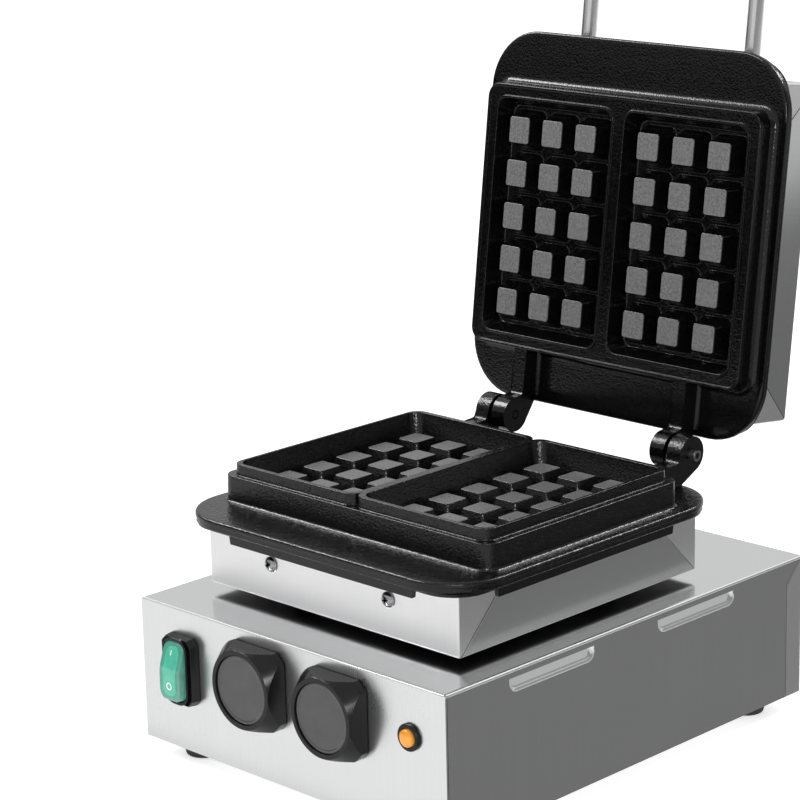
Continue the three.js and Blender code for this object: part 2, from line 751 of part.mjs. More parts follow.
function casting({ landZ, blockTopZ, rims, knuckleOuter, axisZ, proud, housingSpace }) {
  const flange = upright(
    roundedRect(flangeWidth, flangeDepth, flangeCorner), [-flangeThickness, 0], flangeSides);
  const raised = upright(roundedRect(raisedWidth, raisedDepth, raisedCorner),
    [-flangeThickness / 2, landZ]);
  const parts = [flange, raised, brim(), ...skirtWalls()];
  const openZ = rims ? landZ + rimHeight : landZ;
  if (rims) {
    for (const side of [-1, 1]) {
      parts.push(upright(roundedRect(rimWidth / 2, rimDepth, rimCorner), [0, openZ])
        .translate(side * (rimWidth / 4 - fitGap), 0, 0));
    }
  }
  const { bosses, holes } = screwBosses(housingSpace);
  const axisY = flangeDepth / 2 + hingeBehindFlange;
  const ribs = [-1, 1].map((side) => hingeRib(
    [side * knuckleOuter, side * (knuckleOuter - knuckleWidth)].sort((a, b) => a - b),
    axisY, axisZ, proud));
  const body = join(...parts, ...bosses, ...ribs.map((rib) => rib.solid));
  const pockets = [-1, 1].map((side) => cavityPocket(side * cavityCentreX, blockTopZ, openZ));
  let hollowed = cut(body, ...pockets, ...holes, ...ribs.map((rib) => rib.bore));
  if (!rims) {
    hollowed = cut(hollowed, landChannel());
  }
  const blocks = [-1, 1].flatMap((side) => bakingBlocks(side * cavityCentreX, blockTopZ));
  return join(hollowed, ...blocks);
}

// The shallow channel in the upper land that clears the lower rim, between thin lips
function landChannel() {
  const z = [upperRaisedHeight - channelDepth, upperRaisedHeight + overrun];
  const outer = upright(roundedRect(raisedWidth - 2 * channelInset, raisedDepth - 2 * channelInset,
    raisedCorner - channelInset), z);
  const lips = [-1, 1].map((side) => upright(
    roundedRect(cavityWidth + 2 * channelLip, cavityLength + 2 * channelLip, cavityCorner + channelLip),
    [z[0] - overrun, z[1] + overrun]).translate(side * cavityCentreX, 0, 0));
  return cut(outer, ...lips);
}

const lowerCasting = casting({
  landZ: raisedHeight,
  blockTopZ: raisedHeight - lowerBlockDrop,
  rims: true,
  knuckleOuter: knuckleOuterX,
  axisZ: hingeAboveFlange,
  proud: ribProud,
  housingSpace: housingHeight + fitGap,
});
place(machine, 'lower_casting', lowerCasting, castIron, [0, plateY, flangeTop]);

const upperCasting = casting({
  landZ: upperRaisedHeight,
  blockTopZ: upperRaisedHeight,
  rims: false,
  knuckleOuter: knuckleOuterX - knuckleWidth - knuckleGap,
  axisZ: upperFlangeFace - hingeZ,
  proud: upperRibProud,
  housingSpace: upperHousingHeight + fitGap,
});
place(lid, 'upper_casting', upperCasting.rotateY(Math.PI), castIron, [0, plateY, upperFlangeFace]);

// Screws through the housing walls into the bosses
for (const [name, end] of [['front', -1], ['rear', 1]]) {
  for (const [sideName, side] of [['left', -1], ['right', 1]]) {
    const x = side * housingScrewSpread / 2;
    const y = housingY + end * (housingDepth / 2 + fitGap);
    const screw = panScrew(screwLength).rotateX(-end * Math.PI / 2);
    place(machine, `lower_screw_${name}_${sideName}`, screw, screwSteel,
      [x, y, housingBottom + housingScrewHeight]);
    place(lid, `upper_screw_${name}_${sideName}`, screw.clone(), screwSteel,
      [x, y, lidTop - housingScrewHeight]);
  }
}

// Hinge pins: tubes through both knuckles of a side
function hingePin() {
  const inner = knuckleOuterX - 2 * knuckleWidth - knuckleGap;
  const length = knuckleOuterX + pinNose - inner;
  return turned([
    [pinBore, 0], [pinRadius, 0], [pinRadius, length], [pinBore, length], [pinBore, 0],
  ]).rotateY(Math.PI / 2).translate(inner, 0, 0);
}
place(machine, 'hinge_pin_right', hingePin(), pinSteel, [0, hingeY, hingeZ]);
place(machine, 'hinge_pin_left', hingePin().rotateZ(Math.PI), pinSteel, [0, hingeY, hingeZ]);

// Heating: element, heat plate and insulation pad stacked behind each casting
function elementPath() {
  const bend = elementRun * bendShare;
  const [w, l] = [elementRuns * elementRun / 2, elementLength / 2];
  const path = new THREE.CurvePath();
  const at = (x, y) => new THREE.Vector3(x, y, 0);
  for (let run = 0; run <= elementRuns; run += 1) {
    const x = -w + run * elementRun;
    const up = run % 2 === 0;
    path.add(new THREE.LineCurve3(at(x, up ? -l : l), at(x, up ? l : -l)));
    if (run < elementRuns) {
      const end = up ? l : -l;
      const crown = up ? l + bend : -l - bend;
      path.add(new THREE.CubicBezierCurve3(
        at(x, end), at(x, crown), at(x + elementRun, crown), at(x + elementRun, end)));
    }
  }
  return path;
}

function heatingElement() {
  const section = circle(elementRadius);
  return new THREE.ExtrudeGeometry(section, {
    steps: elementSteps, extrudePath: elementPath(), curveSegments: elementSides / 2, bevelEnabled: false,
  });
}

function heatPlate() {
  const w = housingWidth - 2 * heatPlateMargin;
  const d = housingDepth - 2 * (bossDepth + 2 * sheet + heatPlateMargin / 2);
  return upright(roundedRect(w, d, heatPlateMargin), [-heatPlateThickness, 0]);
}

function insulationPad(height) {
  const w = housingWidth - 2 * (sheet + insulationMargin);
  const d = housingDepth - 2 * (bossDepth + 2 * sheet + insulationMargin);
  return upright(roundedRect(w, d, insulationMargin), [-height, 0]);
}

const elementDepth = flangeThickness + fitGap + elementRadius;
const heatPlateDepth = flangeThickness + elementSpace;
const padDepth = heatPlateDepth + heatPlateThickness + fitGap;
const lowerPadHeight = flangeTop - padDepth - (housingBottom + sheet + bushFlangeThickness + 2 * fitGap);
const upperPadHeight = lidTop - sheet - fitGap - (upperFlangeFace + padDepth);
place(machine, 'lower_element', heatingElement(), elementSteel, [0, housingY, flangeTop - elementDepth]);
place(machine, 'lower_heat_plate', heatPlate(), aluminium, [0, housingY, flangeTop - heatPlateDepth]);
place(machine, 'lower_insulation', insulationPad(lowerPadHeight), insulationFelt,
  [0, housingY, flangeTop - padDepth]);
place(lid, 'upper_element', heatingElement(), elementSteel, [0, housingY, upperFlangeFace + elementDepth]);
place(lid, 'upper_heat_plate', heatPlate().rotateY(Math.PI), aluminium,
  [0, housingY, upperFlangeFace + heatPlateDepth]);
place(lid, 'upper_insulation', insulationPad(upperPadHeight).rotateY(Math.PI), insulationFelt,
  [0, housingY, upperFlangeFace + padDepth]);

// The thermostat's sensing bulb lies against the lower casting between two runs of the element
const bulb = turned([
  [0, 0], [bulbRadius, 0], [bulbRadius, bulbLength], [0, bulbLength],
], smallSides).rotateX(-Math.PI / 2).translate(0, -bulbLength / 2, 0);
place(machine, 'thermostat_bulb', bulb, brass, [0, housingY, flangeBottom - fitGap - bulbRadius]);

// Lead bush between the cabinet and the lower housing
function leadBush() {
  const low = -sheet - fitGap;
  const high = housingLift + sheet + fitGap;
  return turned([
    [bushBore, low - bushFlangeThickness], [bushFlange, low - bushFlangeThickness], [bushFlange, low],
    [bushRadius, low], [bushRadius, high], [bushFlange, high], [bushFlange, high + bushFlangeThickness],
    [bushBore, high + bushFlangeThickness], [bushBore, low - bushFlangeThickness],
  ], smallSides);
}
place(machine, 'lower_lead_bush', leadBush(), rubber, [0, housingY, cabinetTop]);

// Lead bush in the upper housing's rear wall
const lidBush = turned([
  [bushBore, -sheet - fitGap], [bushRadius, -sheet - fitGap], [bushRadius, fitGap], [bushFlange, fitGap],
  [bushFlange, fitGap + bushFlangeThickness], [bushBore, fitGap + bushFlangeThickness],
  [bushBore, -sheet - fitGap],
], smallSides).rotateX(-Math.PI / 2);
place(lid, 'lid_lead_bush', lidBush, rubber, [0, housingRearY, lidTop - upperHousingHeight / 2]);

// Handle: a bent bar with a pad and a threaded stud on each end, and a grip on its cross member
function handleBracket() {
  const half = handleSpread / 2;
  const at = (x, y) => new THREE.Vector3(x, y, 0);
  const start = -handlePadThickness / 2;
  const path = new THREE.CurvePath();
  path.add(new THREE.LineCurve3(at(-half, start), at(-half, handleBend - handleReach)));
  path.add(new THREE.QuadraticBezierCurve3(
    at(-half, handleBend - handleReach), at(-half, -handleReach), at(handleBend - half, -handleReach)));
  path.add(new THREE.LineCurve3(at(handleBend - half, -handleReach), at(half - handleBend, -handleReach)));
  path.add(new THREE.QuadraticBezierCurve3(
    at(half - handleBend, -handleReach), at(half, -handleReach), at(half, handleBend - handleReach)));
  path.add(new THREE.LineCurve3(at(half, handleBend - handleReach), at(half, start)));
  const bar = new THREE.ExtrudeGeometry(circle(handleBar), {
    steps: handleSteps, extrudePath: path, curveSegments: barSides / 2, bevelEnabled: false,
  });
  const studEnd = handleNutStart + handleNutHeight + handleStudTip;
  const feet = [-1, 1].flatMap((side) => [
    alongY(roundedRect(handlePadWidth, handlePadHeight, sheet), [-handlePadThickness, 0]),
    alongY(circle(handleStudRadius), [start, studEnd], smallSides),
  ].map((geometry) => geometry.translate(side * half, 0, 0)));
  return join(bar, ...feet);
}

function handleNut() {
  const y = [handleNutStart, handleNutStart + handleNutHeight];
  const hole = alongY(circle(handleStudRadius + fitGap), [y[0] - overrun, y[1] + overrun], smallSides);
  return cut(alongY(hexagon(handleNutSize), y), hole);
}

function handleGrip() {
  const bore = handleBar + fitGap;
  const [end, swell] = [gripLength / 2, gripRadius];
  const waist = gripRadius - sheet;
  return turned([
    [bore, -end], [waist, -end], [swell, -end + handleBend / 2], [waist, 0], [swell, end - handleBend / 2],
    [waist, end], [bore, end], [bore, -end],
  ]).rotateY(Math.PI / 2);
}

const handleY = housingFrontY - fitGap;
const handleZ = lidTop - handleBelowTop;
place(lid, 'handle_bracket', handleBracket(), stainless, [0, handleY, handleZ]);
place(lid, 'handle_grip', handleGrip(), blackPlastic, [0, handleY - handleReach, handleZ]);
for (const [name, side] of [['left', -1], ['right', 1]]) {
  place(lid, `handle_nut_${name}`, handleNut(), screwSteel, [side * handleSpread / 2, handleY, handleZ]);
}

// Rocker switch
const switchZ = cabinetTop - switchBelowTop;

function switchBezel() {
  const z = [fitGap, fitGap + bezelThickness];
  const plate = drafted(upright(roundedRect(bezelWidth, bezelHeight, bezelCorner), z), z, -bezelDraft)
    .rotateX(Math.PI / 2);
  const collar = alongY(roundedRect(collarWidth, collarHeight, collarCorner),
    [-collarProud, -fitGap - sheet]);
  const opening = alongY(roundedRect(rockerWidth + 2 * rockerGap, 2 * (rockerRadius + rockerGap), sheet),
    [-collarProud - overrun, overrun], 2);
  return cut(join(plate, collar), opening);
}

function switchBody() {
  const [w, h] = [collarWidth - 2 * sheet - 2 * fitGap, collarHeight - 2 * sheet - 2 * fitGap];
  const outer = alongY(roundedRect(w, h, collarCorner), [0, switchBodyDepth]);
  const room = alongY(roundedRect(rockerWidth + 2 * rockerGap, 2 * (rockerRadius + rockerGap), sheet),
    [-overrun, rockerRadius + rockerGap - rockerPivotProud], 2);
  return cut(outer, room);
}

// A disc about the pivot, cut to two front faces that meet at its middle
function rocker() {
  const outline = new THREE.Shape();
  const tilt = THREE.MathUtils.degToRad(rockerTilt);
  const crest = rockerProud - rockerPivotProud;
  const edge = Math.asin((crest / rockerRadius) * Math.cos(tilt)) - tilt;
  outline.moveTo(-crest, 0);
  outline.lineTo(-rockerRadius * Math.sin(edge), rockerRadius * Math.cos(edge));
  outline.absarc(0, 0, rockerRadius, Math.PI / 2 + edge, Math.PI / 2 - tilt, true);
  outline.lineTo(rockerRadius / 2, 0);
  outline.absarc(0, 0, rockerRadius, -Math.PI / 2 + tilt, -Math.PI / 2 - edge, true);
  return alongX(outline, [-rockerWidth / 2, rockerWidth / 2]).rotateX(-tilt);
}

place(machine, 'switch_bezel', switchBezel(), blackPlastic, [switchX, 0, switchZ]);
place(machine, 'switch_body', switchBody(), blackPlastic, [switchX, 0, switchZ]);
place(machine, 'rocker', rocker(), greenLens, [switchX, -rockerPivotProud, switchZ]);

// Rotary controls, drawn about the control's axis with the panel's face at y 0
const knobZ = cabinetTop - knobBelowTop;

// A cone with a ring and a dish on its front, and four flats on its sides
function knob() {
  const dishRadius = knobCapRadius - knobRing;
  const cone = turned([
    [0, knobRunGap], [knobRadius, knobRunGap], [knobRadius, knobSkirt], [knobCapRadius, knobCapFront],
    [dishRadius, knobCapFront], [dishRadius, knobCapFront - knobDish], [0, knobCapFront - knobDish],
  ]).rotateX(Math.PI / 2);
  const flats = [-knobFlats / 2, knobFlats / 2];
  const cap = intersect(cone, box(flats, [-knobCapFront - overrun, overrun], flats));
  const nutRoom = controlNutSize / Math.sqrt(3) + knobRunGap;
  const bore = turned([
    [0, knobRunGap - overrun], [nutRoom, knobRunGap - overrun], [nutRoom, controlBushFront + knobRunGap],
    [shaftRadius + fitGap, controlBushFront + knobRunGap], [shaftRadius + fitGap, knobBoreDepth],
    [0, knobBoreDepth],
  ]).rotateX(Math.PI / 2);
  return cut(cap, bore);
}

function controlBody() {
  const back = sheet + fitGap;
  const body = box([-controlBodyWidth / 2, controlBodyWidth / 2], [back, back + controlBodyDepth],
    [-controlBodyHeight / 2, controlBodyHeight / 2]);
  const bush = alongY(circle(controlBushRadius), [-controlBushFront, back + overrun], roundSides);
  const bore = alongY(circle(shaftRadius + fitGap),
    [-controlBushFront - overrun, back + controlBodyDepth / 2], roundSides);
  return cut(join(body, bush), bore);
}

function controlShaft() {
  return alongY(circle(shaftRadius), [fitGap - knobBoreDepth, sheet + controlBodyDepth / 2], roundSides);
}

function controlNut() {
  const y = [-fitGap - controlNutHeight, -fitGap];
  const hole = alongY(circle(controlBushRadius + fitGap), [y[0] - overrun, y[1] + overrun], roundSides);
  return cut(alongY(hexagon(controlNutSize), y), hole);
}

for (const [name, x] of [['thermostat', thermostatX], ['timer', timerX]]) {
  place(machine, `${name}_body`, controlBody(), aluminium, [x, 0, knobZ]);
  place(machine, `${name}_nut`, controlNut(), brass, [x, 0, knobZ]);
  place(machine, `${name}_shaft`, controlShaft(), brass, [x, 0, knobZ]);
  place(machine, `${name}_knob`, knob(), blackPlastic, [x, 0, knobZ]);
}

// Pilot lamp: a rimmed body through the panel with a lens in its front
const lampBody = turned([
  [0, -lampBodyDepth], [lampRadius, -lampBodyDepth], [lampRadius, fitGap], [lampRim, fitGap],
  [lampRim, fitGap + lampRimProud], [lampRadius, fitGap + lampRimProud], [lampRadius, sheet], [0, sheet],
]).rotateX(Math.PI / 2);
const lampLens = turned([
  [0, sheet + fitGap], [lampRadius - fitGap, sheet + fitGap], [lampRadius - fitGap, lampProud - sheet],
  [lampRadius * Math.SQRT1_2, lampProud], [0, lampProud],
]).rotateX(Math.PI / 2);
place(machine, 'lamp_body', lampBody, blackPlastic, [lampX, 0, knobZ]);
place(machine, 'lamp_lens', lampLens, amberLens, [lampX, 0, knobZ]);

// Terminal block on the bottom plate
function terminalBlock() {
  const block = box([-terminalWidth / 2, terminalWidth / 2], [-terminalDepth / 2, terminalDepth / 2],
    [0, terminalHeight]);
  const wells = [];
  const pitch = terminalWidth / terminalPoles;
  for (let pole = 0; pole < terminalPoles; pole += 1) {
    const x = (pole - (terminalPoles - 1) / 2) * pitch;
    for (const y of [-terminalDepth / 4, terminalDepth / 4]) {
      wells.push(upright(circle(pitch / 4), [terminalHeight / 2, terminalHeight + overrun])
        .translate(x, y, 0));
    }
  }
  return cut(block, ...wells);
}
place(machine, 'terminal_block', terminalBlock(), ceramic,
  [glandX / 2, cabinetDepth - terminalWidth, cabinetBottom + sheet + fitGap]);

// Power gland in the rear panel and its lock nut inside
const glandHex = upright(hexagon(glandHexSize), [fitGap, fitGap + glandHexLength]);
const glandBarrel = turned([
  [0, -sheet - glandHexLength - 2 * fitGap], [glandRadius, -sheet - glandHexLength - 2 * fitGap],
  [glandRadius, fitGap], [glandRadius + sheet, glandHexLength], [glandRadius + sheet, glandLength - 2 * sheet],
  [glandRadius - sheet, glandLength], [0, glandLength],
]);
const glandThrough = turned([
  [0, -glandLength], [glandBore, -glandLength], [glandBore, glandLength + overrun], [0, glandLength + overrun],
]);
const gland = cut(join(glandHex, glandBarrel), glandThrough).rotateX(-Math.PI / 2);
const glandNut = cut(
  upright(hexagon(glandHexSize), [-sheet - fitGap - glandHexLength, -sheet - fitGap]),
  upright(circle(glandRadius + fitGap), [-glandLength, glandLength], roundSides),
).rotateX(-Math.PI / 2);
const glandPlace = [glandX, cabinetDepth, cabinetBottom + glandAboveBottom];
place(machine, 'power_gland', gland, blackPlastic, glandPlace);
place(machine, 'power_gland_nut', glandNut, blackPlastic, glandPlace);

// The origin goes under the middle of the whole machine
const whole = new THREE.Group();
whole.add(machine);
const bounds = new THREE.Box3().setFromObject(whole, true);
machine.position.set(-(bounds.min.x + bounds.max.x) / 2, -(bounds.min.y + bounds.max.y) / 2, -bounds.min.z);

export default whole;
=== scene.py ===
import json
from math import acos, asin, atan2, copysign, cos, hypot, pi, radians, sin, sqrt, tan

import bmesh
import bpy
from mathutils import Matrix, Vector


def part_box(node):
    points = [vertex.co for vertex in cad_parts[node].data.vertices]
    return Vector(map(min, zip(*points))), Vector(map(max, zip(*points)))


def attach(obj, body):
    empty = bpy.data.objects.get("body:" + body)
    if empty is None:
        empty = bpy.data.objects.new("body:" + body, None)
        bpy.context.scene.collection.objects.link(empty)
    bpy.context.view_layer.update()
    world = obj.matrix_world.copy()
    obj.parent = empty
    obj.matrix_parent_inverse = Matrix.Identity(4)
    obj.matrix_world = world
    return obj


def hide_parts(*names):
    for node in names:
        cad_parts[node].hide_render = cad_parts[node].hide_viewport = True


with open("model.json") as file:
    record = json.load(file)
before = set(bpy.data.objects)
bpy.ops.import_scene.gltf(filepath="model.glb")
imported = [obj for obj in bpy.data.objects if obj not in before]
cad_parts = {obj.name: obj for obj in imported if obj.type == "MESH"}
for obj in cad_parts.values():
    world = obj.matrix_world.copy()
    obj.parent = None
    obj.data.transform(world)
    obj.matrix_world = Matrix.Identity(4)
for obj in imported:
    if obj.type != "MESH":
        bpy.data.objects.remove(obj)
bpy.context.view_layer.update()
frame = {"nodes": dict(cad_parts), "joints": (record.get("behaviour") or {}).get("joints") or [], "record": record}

MM = 0.001

# Fineness of the meshes
CORNER_STEPS = 6  # steps of a rounded outline's corner
FLANGE_STEPS = 12
BLOCK_STEPS = 4
SOFT_STEPS = 4  # steps of a rounded edge
ROUND_STEPS = 48
SCREW_STEPS = 32
SHARP_ANGLE = 33  # degrees

# General
SHEET = 1.2
GAP = 0.3

# Castings, as in the frame
FLANGE_W, FLANGE_D, FLANGE_R = 235.2, 234.5, 37.0
FLANGE_T = 6.6
RAISED_W, RAISED_D, RAISED_R = 217.0, 166.3, 9.0
RAISED_H, UPPER_RAISED_H = 15.9, 12.5
LOWER_FOOT_R, UPPER_FOOT_R = 2.2, 4.6  # round the raised blocks' feet
RIM_H = 6.7
RIM_FOOT_R, RIM_EDGE_R, RIM_DRAFT = 1.2, 0.8, 0.3
LAND_EDGE_R, RAISED_DRAFT = 1.1, 0.5
RIM_W, RIM_D, RIM_R = 104.1, 159.5, 8.0
RIM_X = 51.75  # middle of each rim
CAVITY_X = 52.4
FLOOR_W, FLOOR_D, FLOOR_R = 85.9, 140.7, 6.0
PITCH = 27.4
COLUMNS, ROWS = 3, 5
GROOVE = 11.5
BLOCK_TOP, BLOCK_BASE = 8.25, 12.45  # half sides
BLOCK_TOP_R, BLOCK_BASE_R = 1.6, 4.4
BLOCK_FOOT_R, BLOCK_EDGE_R = 1.3, 0.7  # how its foot and its top's edge round
BLOCK_DROP = 2.4
FLOOR_EDGE_R, FLOOR_RUN = 1.8, 1.5  # the floor's rounded edge, and the level rim inside it
WALL_AT_BLOCKS = 4.2  # how far the cavity has widened at the height of the block tops
WALL_AT_RIM = 6.2
CLOSED_GAP = 0.6
CHANNEL, CHANNEL_INSET, LIP = 1.2, 1.6, 1.3
CHANNEL_R, LIP_R = 0.3, 0.35
SKIRT_INSET, SKIRT_T, SKIRT_DROP = 6.4, 3.0, 7.8
SKIRT_FRONT, SKIRT_SIDE, SKIRT_SHIFT = 150.0, 151.7, 2.5
SKIRT_SLANT, SKIRT_FOOT = 2.0, 0.5  # how far a skirt's end slants out above and in below
BRIM_INSET, BRIM_R, BRIM_DROP, BRIM_W = 4.8, 23.0, 2.4, 2.2
FLANGE_LIP = 3.2  # height of the flange's upper edge layer
LAYER_STEP = 0.7  # how far the layer below is set back
FLANGE_TOP_R, FLANGE_EDGE_R, BRIM_EDGE_R = 1.5, 0.9, 0.8
HINGE_BEHIND, HINGE_UP = 7.3, 17.3
KNUCKLE_R, KNUCKLE_W, KNUCKLE_GAP = 11.2, 10.5, 3.0
KNUCKLE_X = 83.7
RIB_PROUD, UPPER_RIB_PROUD, RIB_NECK, RIB_HEEL = 13.5, 12.3, 12.0, 3.0
RIB_HEEL_R, RIB_NECK_R, RIB_BEVEL, RIB_FILLET = 1.5, 3.0, 0.8, 2.6
PIN_R, PIN_BORE, PIN_NOSE = 3.5, 1.9, 4.5
PIN_DEEP, NOSE_DEEP = 2.0, 8.0  # depth of the bore at each end
PIN_EDGE_R, NOSE_EDGE_R = 0.6, 1.4


# Where things are, read from the frame
def box_mm(node):
    low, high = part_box(node)
    return low / MM, high / MM


def middle(node):
    low, high = box_mm(node)
    return (low + high) / 2


joints = {joint["name"]: joint for joint in frame["joints"]}
hinge = Vector(joints["lid_hinge"]["pos_m"]) / MM
open_angle = radians(joints["lid_hinge"]["range_deg"][1])
house_low, house_high = box_mm("lower_housing")
cover_low, cover_high = box_mm("base_cover")
whole_front = box_mm("front_panel")[0].y
whole_rear = box_mm("rear_panel")[1].y
flange_top = house_high.z + GAP + FLANGE_T
plate_y = hinge.y - HINGE_BEHIND - FLANGE_D / 2
rim_top = flange_top + RAISED_H + RIM_H
upper_face = rim_top + CLOSED_GAP + UPPER_RAISED_H
upper_back = upper_face + FLANGE_T
OPEN = (
    Matrix.Translation(hinge)
    @ Matrix.Rotation(-open_angle, 4, "X")
    @ Matrix.Translation(-hinge)
)


# Outlines and profiles
def rounded(width, depth, radius, steps=CORNER_STEPS, centre=(0, 0)):
    """A rounded rectangle's points, the same number for every size."""
    radius = max(min(radius, width / 2, depth / 2), GAP)
    x, y = width / 2 - radius, depth / 2 - radius
    points = []
    for cx, cy, start in ((x, -y, -90), (x, y, 0), (-x, y, 90), (-x, -y, 180)):
        for i in range(steps + 1):
            angle = radians(start + 90 * i / steps)
            points.append((
                centre[0] + cx + radius * cos(angle),
                centre[1] + cy + radius * sin(angle),
            ))
    return points


def circle(radius, steps=ROUND_STEPS, centre=(0, 0)):
    turn = 2 * pi / steps
    return [
        (centre[0] + radius * cos(i * turn), centre[1] + radius * sin(i * turn))
        for i in range(steps)
    ]


def soften(corners, closed=False, steps=SOFT_STEPS):
    """A line of (a, b, radius) corners with each corner rounded."""
    count = len(corners)
    points = []
    for i, (a, b, radius) in enumerate(corners):
        here = Vector((a, b))
        inner = closed or 0 < i < count - 1
        if not inner or radius <= 0:
            points.append((a, b))
            continue
        before = Vector(corners[i - 1][:2]) - here
        after = Vector(corners[(i + 1) % count][:2]) - here
        angle = before.angle(after)
        reach = min(radius / tan(angle / 2), before.length / 2, after.length / 2)
        radius = reach * tan(angle / 2)
        middle = (before.normalized() + after.normalized()).normalized()
        centre = here + middle * (radius / sin(angle / 2))
        start = here + before.normalized() * reach - centre
        end = here + after.normalized() * reach - centre
        sweep = start.angle_signed(end)
        for k in range(steps + 1):
            turned = start.copy()
            turned.rotate(Matrix.Rotation(-sweep * k / steps, 2))
            points.append(tuple(centre + turned))
    return points


class Solid:
    """A mesh in the making."""

    def __init__(self):
        self.bm = bmesh.new()

    def ring(self, points, z=None):
        if z is not None:
            points = [(x, y, z) for x, y in points]
        return [self.bm.verts.new(point) for point in points]

    def bridge(self, first, second):
        count = len(first)
        for i in range(count):
            k = (i + 1) % count
            self.bm.faces.new((first[i], first[k], second[k], second[i]))

    def loft(self, rings):
        for first, second in zip(rings, rings[1:]):
            self.bridge(first, second)
        return rings

    def strip(self, pairs):
        """Faces between each pair of points and the next."""
        for (a, b), (c, d) in zip(pairs, pairs[1:]):
            self.bm.faces.new((a, b, d, c))

    def cap(self, *rings):
        for ring in rings:
            self.bm.faces.new(ring)

    def fill(self, *rings):
        """A flat face with holes between closed lines of points."""
        find, new = self.bm.edges.get, self.bm.edges.new
        edges = [
            find(pair) or new(pair) for ring in rings for pair in zip(ring, ring[1:] + ring[:1])]
        bmesh.ops.triangle_fill(self.bm, use_beauty=True, edges=edges)

    def stack(self, rows, outline):
        """Joined rings from rows of (size, height), each drawn by outline(size)."""
        return self.loft([self.ring(outline(size), height) for size, height in rows])

    def made(self, name, matrix=None):
        """The object, its outside facing out, in metres."""
        bm = self.bm
        bmesh.ops.remove_doubles(bm, verts=bm.verts, dist=GAP * MM)
        bmesh.ops.recalc_face_normals(bm, faces=bm.faces)
        if matrix is not None:
            bm.transform(matrix)
        bm.transform(Matrix.Scale(MM, 4))
        mesh = bpy.data.meshes.new(name)
        bm.to_mesh(mesh)
        bm.free()
        obj = bpy.data.objects.new(name, mesh)
        bpy.context.scene.collection.objects.link(obj)
        return obj


def turned(profile, steps=ROUND_STEPS):
    """A solid of revolution about Z from (radius, height) rows; it closes on itself or on the axis."""
    solid = Solid()
    rings = [solid.ring(circle(r, steps), z) for r, z in profile[:-1] if r > 0]
    if profile[0] == profile[-1]:
        solid.loft([*rings, rings[0]])
    else:
        solid.loft(rings)
        solid.cap(rings[0], rings[-1])
    return solid


def slab(outline, low, high, bevel=0.0, steps=2):
    """A prism from an outline in X and Y, its end edges bevelled."""
    solid = Solid()
    ends = solid.loft([solid.ring(outline, z) for z in (low, high)])
    solid.cap(*ends)
    if bevel > 0:
        edges = [solid.bm.edges.get((ring[i - 1], ring[i])) for ring in ends for i in range(len(ring))]
        bmesh.ops.bevel(
            solid.bm, geom=edges, offset=bevel, segments=steps, affect="EDGES", profile=0.5,
            clamp_overlap=True,
        )
    return solid


# Ways to lay a drawing: on Y and Z along X, on X and Z along -Y, or with Y and Z swapped
ALONG_X = Matrix(((0, 0, 1, 0), (1, 0, 0, 0), (0, 1, 0, 0), (0, 0, 0, 1)))
ALONG_Y = Matrix(((1, 0, 0, 0), (0, 0, -1, 0), (0, 1, 0, 0), (0, 0, 0, 1)))
SWAPPED = Matrix(((1, 0, 0, 0), (0, 0, 1, 0), (0, 1, 0, 0), (0, 0, 0, 1)))
TO_FRONT = Matrix.Rotation(pi / 2, 4, "X")
TO_REAR = Matrix.Rotation(-pi / 2, 4, "X")
TO_RIGHT = Matrix.Rotation(pi / 2, 4, "Y")
TO_LEFT = Matrix.Rotation(-pi / 2, 4, "Y")


def at(x, y, z):
    return Matrix.Translation((x, y, z))


def applied(obj):
    """Bakes an object's modifiers into its mesh."""
    depsgraph = bpy.context.evaluated_depsgraph_get()
    mesh = bpy.data.meshes.new_from_object(obj.evaluated_get(depsgraph))
    obj.modifiers.clear()
    obj.data = mesh


def combine(obj, tools, operation):
    for tool in tools:
        modifier = obj.modifiers.new("combine", "BOOLEAN")
        modifier.operation = operation
        modifier.solver = "MANIFOLD"
        modifier.object = tool
        applied(obj)
        bpy.data.objects.remove(tool)
    return obj


def bevelled(obj, width, segments, from_angle):
    """Rounds the edges that turn by more than an angle."""
    modifier = obj.modifiers.new("edges", "BEVEL")
    modifier.width = width * MM
    modifier.segments = segments
    modifier.limit_method = "ANGLE"
    modifier.angle_limit = radians(from_angle)
    applied(obj)


def moved(obj, place):
    """Takes a mesh that is in metres by a placement in millimetres."""
    obj.data.transform(Matrix.Scale(MM, 4) @ place @ Matrix.Scale(1 / MM, 4))
    return obj


def dressed(obj, material, body, slot, *nodes, second=None):
    """Gives a finished piece its shading, material and body, and hides the nodes that it stands for."""
    mesh = obj.data
    marks = [face.material_index for face in mesh.polygons] if second else [0] * len(mesh.polygons)
    mesh.materials.clear()
    mesh.materials.append(material)
    if second:
        mesh.materials.append(second)
    mesh.polygons.foreach_set("material_index", marks)
    mesh.polygons.foreach_set("use_smooth", [True] * len(mesh.polygons))
    mesh.set_sharp_from_angle(angle=radians(SHARP_ANGLE))
    weighted = obj.modifiers.new("weighted", "WEIGHTED_NORMAL")
    weighted.keep_sharp = True
    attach(obj, body)
    if nodes:
        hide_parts(*nodes)


# Materials
MIX_A, MIX_B, MIX_OUT = 6, 7, 2  # a mix node's colour sockets


